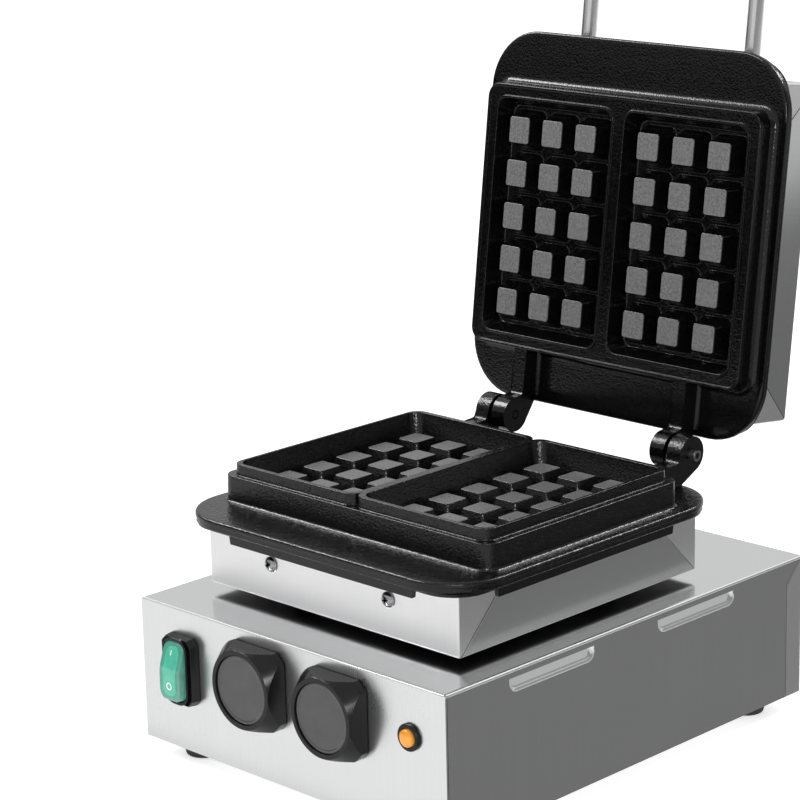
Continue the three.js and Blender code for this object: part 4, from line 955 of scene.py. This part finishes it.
def front_sheet():
    """The front with its top edge bent back to the cover."""
    solid = Solid()
    deep = whole_front + FRONT_BEND
    profile = soften([
        (whole_front, cabinet_low, 0), (whole_front, cabinet_high, FRONT_BEND),
        (deep + GAP, cabinet_high, 0),
    ])
    bend_z = cabinet_high - COVER_BEND
    rows = []
    for y, z in profile:
        up = max(z - cabinet_high + COVER_BEND, 0.0)
        reach = half_width - COVER_BEND + sqrt(COVER_BEND ** 2 - up ** 2)
        rows.append(solid.ring([(x, min(y, deep), z) for x in (-reach, reach)]))
    corner = []
    for angle in (0.0, radians(10), radians(20)):
        reach = half_width - COVER_BEND + COVER_BEND * cos(angle)
        z = bend_z + COVER_BEND * sin(angle)
        corner.append(solid.ring([(x, whole_front, z) for x in (-reach, reach)]))
    solid.strip([rows[0], *corner, *rows[1:]])
    return solid


VENT_L, VENT_W, VENT_PITCH, VENTS = 60.0, 5.0, 14.0, 5
REAR_BEND = 1.4
gland_place = middle("power_gland")


def rear_sheet():
    """The rear with its vents, its upright bends and the tabs that lie in the sides."""
    solid = Solid()
    reach = half_width - REAR_BEND
    outer = solid.ring([(x, whole_rear, z) for x, z in (
        (-reach, cabinet_low), (reach, cabinet_low), (reach, cabinet_high - GAP),
        (-reach, cabinet_high - GAP))])
    holes = []
    for row in range(VENTS):
        height = (cabinet_low + cabinet_high) / 2 + (row - (VENTS - 1) / 2) * VENT_PITCH
        outline = rounded(VENT_L, VENT_W, VENT_W / 2, centre=(-gland_place.x / 2, height))
        holes.append(solid.ring([(x, whole_rear, z) for x, z in outline]))
    solid.fill(outer, *holes)
    for side, start in ((-1, (outer[0], outer[3])), (1, (outer[1], outer[2]))):
        spots = []
        for cosine, sine in quarter(SOFT_STEPS):
            y = whole_rear - REAR_BEND + REAR_BEND * cosine
            spots.append((reach + REAR_BEND * sine, y, cabinet_high - SEAM - (whole_rear - y)))
        spots.append((half_width, whole_rear - REAR_TAB + SEAM, cabinet_high - REAR_TAB - SEAM / 2))
        solid.strip([start, *(
            solid.ring([(side * x, y, cabinet_low), (side * x, y, top)]) for x, y, top in spots)])
    return solid


sheet_piece("cover", cover(), steel, "base_cover")
sheet_piece("front_face", front_sheet(), steel_front, "front_panel")
sheet_piece("rear_face", rear_sheet(), lit_steel_tab, "rear_panel")


# Feet: two tiers with a groove between them, hollow below for the screw
FOOT_R, FOOT_LOW_R, FOOT_WELL, FOOT_WELL_H = 14.0, 11.0, 4.5, 4.0
FOOT_LINE = ((12.4, 5.0, 0.6), (12.0, 5.8, 0.3), (12.9, 6.6, 0.5))  # radius, height, rounding


def foot(name, node):
    top = box_mm(node)[1].z
    rows = soften([
        (FOOT_WELL, FOOT_WELL_H, 0), (FOOT_WELL, 0, 0.5), (FOOT_LOW_R, 0, 1.2), *FOOT_LINE,
        (FOOT_R, top, 0.8), (SHANK_R + GAP, top, 0),
    ])
    solid = turned([(0, FOOT_WELL_H), *rows, (0, top)])
    spot = middle(node)
    dressed(solid.made(name, at(spot.x, spot.y, 0)), rubber, "cabinet", "rubber", node)


for end_name in ("front", "rear"):
    for side_name in ("left", "right"):
        foot(f"rubber_foot_{end_name}_{side_name}", f"foot_{end_name}_{side_name}")


# Handle on the lid: a bent bar on two pads, with a grip
HANDLE_REACH, HANDLE_BAR, HANDLE_BEND, HANDLE_SPREAD = 71.2, 5.0, 14.0, 130.3
HANDLE_STEPS = 10
PAD_W, PAD_H, PAD_T, PAD_R = 22.0, 24.0, 3.0, 4.0
STUD_R, STUD_L = 3.0, 7.0
GRIP_R, GRIP_L, GRIP_SAG = 12.85, 100.3, 1.4
GRIP_RUN, GRIP_STEPS = 12.0, 9
GRIP_END = ((9.0, 0.0, 1.2), (11.2, 5.0, 1.0), (11.2, 7.0, 0.5), (10.2, 8.0, 0.4), (10.2, 9.0, 0.4),
            (11.4, 10.0, 0.6))  # radius, distance from the end, rounding
HANDLE_DOWN = 17.0
handle_place = OPEN @ at(0, house_low.y - GAP, lid_top - HANDLE_DOWN)


def bar():
    """The bar is swept along three straight runs and two bends."""
    half = HANDLE_SPREAD / 2
    spots = [(-half, 1.0, 0), (-half, -HANDLE_REACH, HANDLE_BEND), (half, -HANDLE_REACH, HANDLE_BEND),
             (half, 1.0, 0)]
    path = [Vector(point) for point in soften(spots, steps=HANDLE_STEPS)]
    solid = Solid()
    rings = []
    for before, point, after in zip([path[0], *path], path, [*path[1:], path[-1]]):
        run = (after - before).normalized()
        rings.append(solid.ring([
            (point.x - run.y * u, point.y + run.x * u, v) for u, v in circle(HANDLE_BAR, SCREW_STEPS)]))
    solid.loft(rings)
    solid.cap(rings[0], rings[-1])
    return solid


bar_obj = bar().made("handle_bar")
tools = []
for side in (-1, 1):
    spot = (side * HANDLE_SPREAD / 2, 0)
    tools.append(slab(rounded(PAD_W, PAD_H, PAD_R, centre=spot), 0, PAD_T, bevel=0.7, steps=3))
    tools.append(slab(circle(STUD_R, SCREW_STEPS, spot), -STUD_L, SHEET))
combine(bar_obj, [tool.made("tool", ALONG_Y) for tool in tools], "UNION")
dressed(moved(bar_obj, handle_place), handle_steel, "lid", "stainless", "handle_bracket")


def grip():
    """A turned grip with a full middle, ring grooves and rounded ends."""
    bore, half = HANDLE_BAR + GAP, GRIP_L / 2
    end = [(bore, -half, 0), *((radius, up - half, rounding) for radius, up, rounding in GRIP_END)]
    rows = []
    for i in range(GRIP_STEPS):
        share = (2 * i + 1) / GRIP_STEPS - 1
        rows.append((GRIP_R - GRIP_SAG * share ** 2, (half - GRIP_RUN) * share, GRIP_RUN))
    line = soften([*end, *rows, *((r, -z, s) for r, z, s in reversed(end))])
    return turned([*line, line[0]])


dressed(grip().made("grip", handle_place @ at(0, -HANDLE_REACH, 0) @ TO_RIGHT), black_satin, "lid",
        "black_plastic", "handle_grip")


# Rocker switch
BEZEL_W, BEZEL_H, BEZEL_R, BEZEL_T, BEZEL_DRAFT = 26.6, 43.8, 3.6, 5.8, 0.6
BEZEL_GROOVE, BEZEL_CHAMFER = 1.8, 2.0
COLLAR_W, COLLAR_H, COLLAR_R, COLLAR_PROUD = 20.6, 41.4, 8.0, 7.6
ROCKER_W, ROCKER_R, ROCKER_PROUD, ROCKER_TILT = 17.8, 18.6, 12.2, radians(9.0)
ROCKER_PIVOT, ROCKER_GAP = 4.0, 0.5
ROCKER_CREST = ROCKER_PROUD - ROCKER_PIVOT
WELL_R, WELL_DEEP = 7.4, 6.0
switch = middle("switch_bezel")
switch_place = at(switch.x, whole_front, switch.z) @ TO_FRONT


def bezel_outline(inset):
    """Chamfered corners outside, turning into the collar's round ones."""
    share = (inset - BEZEL_DRAFT) / ((BEZEL_W - COLLAR_W) / 2 - BEZEL_DRAFT)
    share = min(max(share, 0), 1)
    width = BEZEL_W - 2 * inset
    rounder = share * (COLLAR_H - BEZEL_H + BEZEL_W - COLLAR_W)
    height = BEZEL_H - 2 * inset + rounder - BEZEL_CHAMFER * (1 - share)
    corner = BEZEL_R + (COLLAR_R - BEZEL_R) * share
    chamfered = []
    for x, y in rounded(width, height, corner):
        over = abs(x) + abs(y) - (width / 2 + height / 2 - corner)
        pull = max(over, 0.0) / 2 * (1 - share)
        chamfered.append((x - copysign(pull, x), y - copysign(pull, y)))
    return chamfered


def bezel():
    """The frame with a groove round its collar, and the well that the rocker sits in."""
    solid = Solid()
    collar = (BEZEL_W - COLLAR_W) / 2
    face, low = BEZEL_T + GAP, BEZEL_T - BEZEL_GROOVE
    rings = solid.stack(soften([
        (collar, GAP, 0), (0, GAP, 0.2), (BEZEL_DRAFT, face, 0.5),
        (collar - BEZEL_GROOVE, face, 0.3), (collar - BEZEL_GROOVE + 0.2, low, 0.2),
        (collar - 0.1, low, 0.2), (collar, COLLAR_PROUD, 0.4), (collar + 0.8, COLLAR_PROUD, 0),
    ]), bezel_outline)
    solid.cap(rings[0])
    room_w, room_h = ROCKER_W + 2 * ROCKER_GAP, 2 * (ROCKER_R + ROCKER_GAP)
    well = solid.stack(
        soften([(0.5, COLLAR_PROUD, 0), (0, COLLAR_PROUD, 0.5), (0, -WELL_DEEP, 0)]),
        lambda size: rounded(room_w + 2 * size, room_h + 2 * size, WELL_R + size))
    solid.cap(well[-1])
    solid.fill(rings[-1], well[0])
    return solid


dressed(bezel().made("bezel", switch_place), black_satin, "cabinet", "black_plastic", "switch_bezel")


def rocker_line(grow):
    """The rocker's side outline about its pivot, drawn out by grow, front faces first."""
    edge = asin(ROCKER_CREST / ROCKER_R * cos(ROCKER_TILT)) - ROCKER_TILT
    half = [(ROCKER_R * cos(edge), ROCKER_R * sin(edge) + grow, 1.6), (ROCKER_R - SHEET / 4, 0, 5.0),
            (ROCKER_R * 0.8, -ROCKER_R * 0.5, 0)]
    other = [(-x, z, radius) for x, z, radius in reversed(half)]
    return soften([(0, ROCKER_CREST + grow, 20.0), *half, *other], closed=True)


rocker_place = (
    at(switch.x, whole_front - ROCKER_PIVOT, switch.z)
    @ Matrix.Rotation(-ROCKER_TILT, 4, "X") @ TO_FRONT
)
FACE_W, FACE_H, FACE_PROUD = 11.6, 1.64 * ROCKER_R, 0.45
CAP_CORNER, FACE_CORNER, CAP_EDGE, FACE_EDGE = 7.0, 5.2, 1.1, 0.5
ROCKER_SHARP, KNOB_SHARP = 40, 16  # degrees from which their edges are rounded


def rocker_piece(name, width, height, corner, grow, bevel, material, *nodes):
    """The rocker's side outline along its width, cut to an arched outline from the front."""
    side = slab([(-y, z) for y, z in rocker_line(grow)], -width / 2, width / 2).made(name, ALONG_X)
    arch = slab(rounded(width, height, corner, 2 * CORNER_STEPS), -ROCKER_R, ROCKER_R).made("tool")
    combine(side, [arch], "INTERSECT")
    bevelled(side, bevel, 3, ROCKER_SHARP)
    dressed(moved(side, rocker_place), material, "rocker", "green_lens", *nodes)


rocker_piece("rocker_cap", ROCKER_W, 2 * ROCKER_R, CAP_CORNER, 0.0, CAP_EDGE, green, "rocker")
rocker_piece("rocker_face", FACE_W, FACE_H, FACE_CORNER, FACE_PROUD, FACE_EDGE, green_face)

# Switch marks: a bar above and a ring below
MARK_T, MARK_SINK = 0.3, 1.06
BAR_W, BAR_H, BAR_X, BAR_UP = 0.7, 3.2, -1, 11.0
RING_IN, RING_OUT, RING_DOWN = 1.6, 2.3, 9.0


def mark(name, solid, x, height):
    """A white mark laid on one of the rocker's two front faces."""
    depth = ROCKER_CREST + FACE_PROUD - abs(height) * tan(ROCKER_TILT) * MARK_SINK
    slope = Matrix.Rotation(copysign(ROCKER_TILT, -height), 4, "X")
    obj = solid.made(name, rocker_place @ at(x, height, depth) @ slope)
    dressed(obj, white_mark, "rocker", "green_lens")


mark("mark_on", slab(rounded(BAR_W, BAR_H, BAR_W / 2), 0, MARK_T), BAR_X, BAR_UP)
mark("mark_off", turned([(RING_IN, 0), (RING_OUT, 0), (RING_OUT, MARK_T), (RING_IN, MARK_T), (RING_IN, 0)],
                        SCREW_STEPS), 0, -RING_DOWN)

# Rotary knobs: a cone with four flats, a raised ring and a glossy dish
KNOB_R, KNOB_FLATS, KNOB_SKIRT = 29.5, 47.2, 5.5
KNOB_CAP_R, KNOB_CAP_Z, KNOB_RING, KNOB_DISH, KNOB_GAP = 23.4, 14.2, 2.8, 1.6, 0.6
KNOB_CORNER, KNOB_EDGE = 0.8, 0.35  # between two flats, and along its edges
KNOB_STEPS = 128
DISC_DOWN, DISC_UP, DISC_RIM = 0.6, 0.2, 0.5  # the dish's glossy disc, from the dish's floor


def knob(name, joint, body, node):
    centre = Vector(joints[joint]["pos_m"]) / MM
    place = at(centre.x, whole_front, centre.z) @ TO_FRONT
    dish, floor_z, past = KNOB_CAP_R - KNOB_RING, KNOB_CAP_Z - KNOB_DISH, KNOB_CAP_Z + 1.0
    cone = turned([
        (0, KNOB_GAP), (KNOB_R, KNOB_GAP), (KNOB_R, KNOB_SKIRT), (KNOB_CAP_R, KNOB_CAP_Z),
        (0, KNOB_CAP_Z),
    ], KNOB_STEPS).made(name)
    flats = slab(rounded(KNOB_FLATS, KNOB_FLATS, KNOB_CORNER, 3), -1.0, past)
    well = turned([(0, floor_z), (dish, floor_z), (dish + 0.25, past), (0, past)], KNOB_STEPS)
    combine(cone, [flats.made("tool")], "INTERSECT")
    combine(cone, [well.made("tool")], "DIFFERENCE")
    bevelled(cone, KNOB_EDGE, 2, KNOB_SHARP)
    dressed(moved(cone, place), black_satin, body, "black_plastic", node)
    disc = turned(soften([
        (0, floor_z - DISC_DOWN, 0), (dish - GAP, floor_z - DISC_DOWN, 0),
        (dish - GAP, floor_z + DISC_RIM, 0.4), (dish - 1.8, floor_z + DISC_RIM, 0.3),
        (dish - 2.4, floor_z + DISC_UP, 0.3), (0, floor_z + DISC_UP, 0),
    ]), KNOB_STEPS)
    dressed(disc.made(f"{name}_dish", place), painted_sheen_dish, body, "black_plastic")


knob("knob_left", "thermostat_turn", "thermostat_dial", "thermostat_knob")
knob("knob_right", "timer_turn", "timer_dial", "timer_knob")

# Pilot lamp
LAMP_R, LAMP_RIM, LAMP_PROUD, LAMP_DEEP = 5.5, 8.0, 5.0, 18.0
RIM_PROUD, DOME_Z = 2.3, 3.0
lamp_spot = middle("lamp_body")
lamp_place = at(lamp_spot.x, whole_front, lamp_spot.z) @ TO_FRONT
ring_rows = soften([
    (LAMP_R, -LAMP_DEEP, 0), (LAMP_R, GAP, 0), (LAMP_RIM, GAP, 0.2), (LAMP_RIM, RIM_PROUD, 0.9),
    (LAMP_R, RIM_PROUD, 0.5), (LAMP_R, SHEET, 0),
])
dressed(turned([(0, -LAMP_DEEP), *ring_rows, (0, SHEET)]).made("lamp_ring", lamp_place), black_satin,
        "cabinet", "black_plastic", "lamp_body")
dome_r = LAMP_R - GAP
lens_rows = [(0, SHEET + GAP), (dome_r, SHEET + GAP)]
for i in range(DOME_STEPS):
    angle = pi / 2 * i / DOME_STEPS
    lens_rows.append((dome_r * cos(angle), DOME_Z + (LAMP_PROUD - DOME_Z) * sin(angle)))
lens_rows.append((0, LAMP_PROUD))
dressed(turned(lens_rows, SCREW_STEPS).made("lamp_dome", lamp_place), amber, "cabinet", "amber_lens",
        "lamp_lens")

# Power gland: a hexagon, a grooved cap with an open mouth, and a barrel through the panel
GLAND_R, GLAND_L, GLAND_HEX, GLAND_HEX_T = 8.0, 24.0, 24.0, 6.0
CAP_R, CAP_MOUTH, GLAND_DEEP = 9.2, 4.2, 7.8
CAP_LINE = (
    (CAP_MOUTH, 4.0, 0), (CAP_MOUTH, GLAND_L, 0.4), (6.6, GLAND_L, 0.6), (CAP_R, GLAND_L - 2.6, 0.8),
    (CAP_R, 12.0, 0.3), (8.6, 11.4, 0.2), (8.6, 10.6, 0.2), (CAP_R, 10.0, 0.3), (CAP_R, 5.0, 0.2),
    (CAP_MOUTH, 4.0, 0),
)


def gland():
    hexagon = circle(GLAND_HEX / sqrt(3), 6)
    body = slab(hexagon, GAP, GAP + GLAND_HEX_T, bevel=0.6).made("gland")
    tube = turned(soften(CAP_LINE))
    barrel = turned([(0, -GLAND_DEEP), (GLAND_R, -GLAND_DEEP), (GLAND_R, 1.0), (0, 1.0)])
    return combine(body, [tube.made("tool"), barrel.made("tool")], "UNION")


gland_obj = moved(gland(), at(gland_place.x, whole_rear, gland_place.z) @ TO_REAR)
dressed(gland_obj, black_satin, "cabinet", "black_plastic", "power_gland")

# What stays as the frame has it gets its finish by slot
slots = {part["node"]: part["material_slot"] for part in frame["record"]["subparts"]}
for node, obj in frame["nodes"].items():
    obj.data.materials.clear()
    obj.data.materials.append(BY_SLOT[slots[node]])


# Stage, in metres: a pale floor, soft lamps, and grey cards that only reflections see
FLOOR_HALF, FLOOR_BASE, FLOOR_GLOW = 6.0, 0.9, 0.54
CARD_LIFT = 0.001
CARD_RIGHT, CARD_LEFT = (0.75, -0.6, 0.75, 1.6), (-3.0, 0.2, -0.4, -3.0)
LAMP_AIM = (0, 0, 0.2)
WORLD_DIFFUSE, WORLD_MIRRORED = 0.75, 0.66


def stage_sheet(name, corners, base, glow):
    """A matt sheet that glows evenly."""
    mesh = bpy.data.meshes.new(name)
    mesh.from_pydata(corners, [], [(0, 1, 2, 3)])
    mesh.materials.append(Nodes(name).finished({
        "Base Color": (base,) * 3,
        "Roughness": 1.0,
        "Specular IOR Level": 0.0,
        "Emission Color": (glow,) * 3,
        "Emission Strength": 1.0,
    }))
    obj = bpy.data.objects.new(name, mesh)
    bpy.context.scene.collection.objects.link(obj)
    return obj


def level(x0, x1, y0, y1, z=CARD_LIFT):
    return [(x0, y0, z), (x1, y0, z), (x1, y1, z), (x0, y1, z)]


def upright(x0, y0, x1, y1, low, high):
    return [(x0, y0, low), (x1, y1, low), (x1, y1, high), (x0, y0, high)]


def leaning(x, y, z, size):
    """A square that faces the object."""
    centre = Vector((x, y, z))
    turn = centre.to_track_quat("Z", "Y")
    return [turn @ Vector((u * size / 2, v * size / 2, 0)) + centre
            for u, v in ((-1, -1), (1, -1), (1, 1), (-1, 1))]


stage_sheet("floor", level(-FLOOR_HALF, FLOOR_HALF, -FLOOR_HALF, FLOOR_HALF, 0), FLOOR_BASE, FLOOR_GLOW)
CARDS = {
    "card_right_low": (upright(*CARD_RIGHT, 0.12, 0.365), 0.5),
    "card_right_high": (upright(*CARD_RIGHT, 0.365, 1.0), 0.28),
    "card_left_front": (upright(*CARD_LEFT, 0.03, 0.55), 0.02),
    "card_left_front_high": (upright(*CARD_LEFT, 0.55, 1.7), 0.52),
    "card_floor": (level(-3.0, 3.0, -3.0, 3.0, CARD_LIFT / 2), 0.75),
    "card_near_right": (level(0.13, 0.37, -0.3, 2.2), 0.17),
    "card_far_right": (level(0.37, 1.4, -0.3, 2.2), 0.14),
    "card_front_floor": (level(-2.4, 0.8, -2.6, -0.2), 0.9),
    "card_top_left": (leaning(-1.6, -0.3, 1.7, 1.6), 1.0),
    "card_top_rear": (leaning(0.6, 1.8, 1.9, 1.2), 1.0),
    "card_top_right": (leaning(1.1, 0.9, 1.8, 1.3), 0.9),
}
for name, (corners, glow) in CARDS.items():
    card = stage_sheet(name, corners, 0.0, glow)
    for ray in ("camera", "shadow", "diffuse", "transmission"):
        setattr(card, f"visible_{ray}", False)


def lamp(name, place, size, power, only=()):
    """A square lamp aimed at the object; it may light only some pieces."""
    light = bpy.data.lights.new(name, "AREA")
    light.shape = "SQUARE"
    light.size = size
    light.energy = power
    obj = bpy.data.objects.new(name, light)
    obj.location = place
    obj.rotation_euler = (Vector(LAMP_AIM) - Vector(place)).to_track_quat("-Z", "Y").to_euler()
    bpy.context.scene.collection.objects.link(obj)
    if only:
        lit = bpy.data.collections.new(name)
        for piece in only:
            lit.objects.link(piece)
        obj.light_linking.receiver_collection = lit


dark = (iron, lid_iron, black_satin, painted_sheen_dish, pin_steel)
dark_pieces = [
    piece for piece in bpy.data.objects
    if piece.type == "MESH" and piece.data.materials and piece.data.materials[0] in dark]
lamp("key", (-1.1, -1.3, 1.9), 0.8, 18)
lamp("rim", (1.0, 1.3, 1.9), 0.6, 6)
lamp("sparkle_left", (-1.3, -0.4, 1.4), 0.6, 16, dark_pieces)
lamp("sparkle_rear", (0.45, 1.4, 1.5), 0.6, 16, dark_pieces)
lamp("sparkle_camera", (1.4, -1.4, 0.8), 0.5, 12, dark_pieces)

# Surroundings: white to the camera, dimmer as light and in reflections
nodes = Nodes("surroundings", "worlds")
rays = nodes.tree.nodes.new("ShaderNodeLightPath").outputs
mirrored = nodes.add("ShaderNodeMath", 0, {0: rays["Is Glossy Ray"], 1: rays["Is Transmission Ray"]},
                     operation="MAXIMUM")
unseen = nodes.add("ShaderNodeMix", 0, {"Factor": mirrored, "A": WORLD_DIFFUSE, "B": WORLD_MIRRORED})
strength = nodes.add("ShaderNodeMix", 0, {"Factor": rays["Is Camera Ray"], "A": unseen, "B": 1.0})
bpy.context.scene.world = nodes.finished({"Color": (1, 1, 1), "Strength": strength}, "Background")

# Camera at the photograph's angle
YAW, PITCH_DOWN, ROLL = radians(44.8808), radians(14.8593), radians(-1.3453)
CAMERA_PLACE = (1.08127, -1.16209, 0.62885)
LENS, SENSOR, CLIP_END = 123.643, 36.0, 50.0
forward = Vector((-sin(YAW) * cos(PITCH_DOWN), cos(YAW) * cos(PITCH_DOWN), -sin(PITCH_DOWN)))
right = Vector((cos(YAW), sin(YAW), 0))
up = right.cross(forward)
axes = (cos(ROLL) * right + sin(ROLL) * up, cos(ROLL) * up - sin(ROLL) * right, -forward)
camera_data = bpy.data.cameras.new("camera")
camera_data.sensor_width = SENSOR
camera_data.lens = LENS
camera_data.clip_end = CLIP_END
camera = bpy.data.objects.new("camera", camera_data)
camera.matrix_world = Matrix.Translation(CAMERA_PLACE) @ Matrix(axes).transposed().to_4x4()
bpy.context.scene.collection.objects.link(camera)
bpy.context.scene.camera = camera
bpy.context.scene.view_settings.view_transform = "Standard"
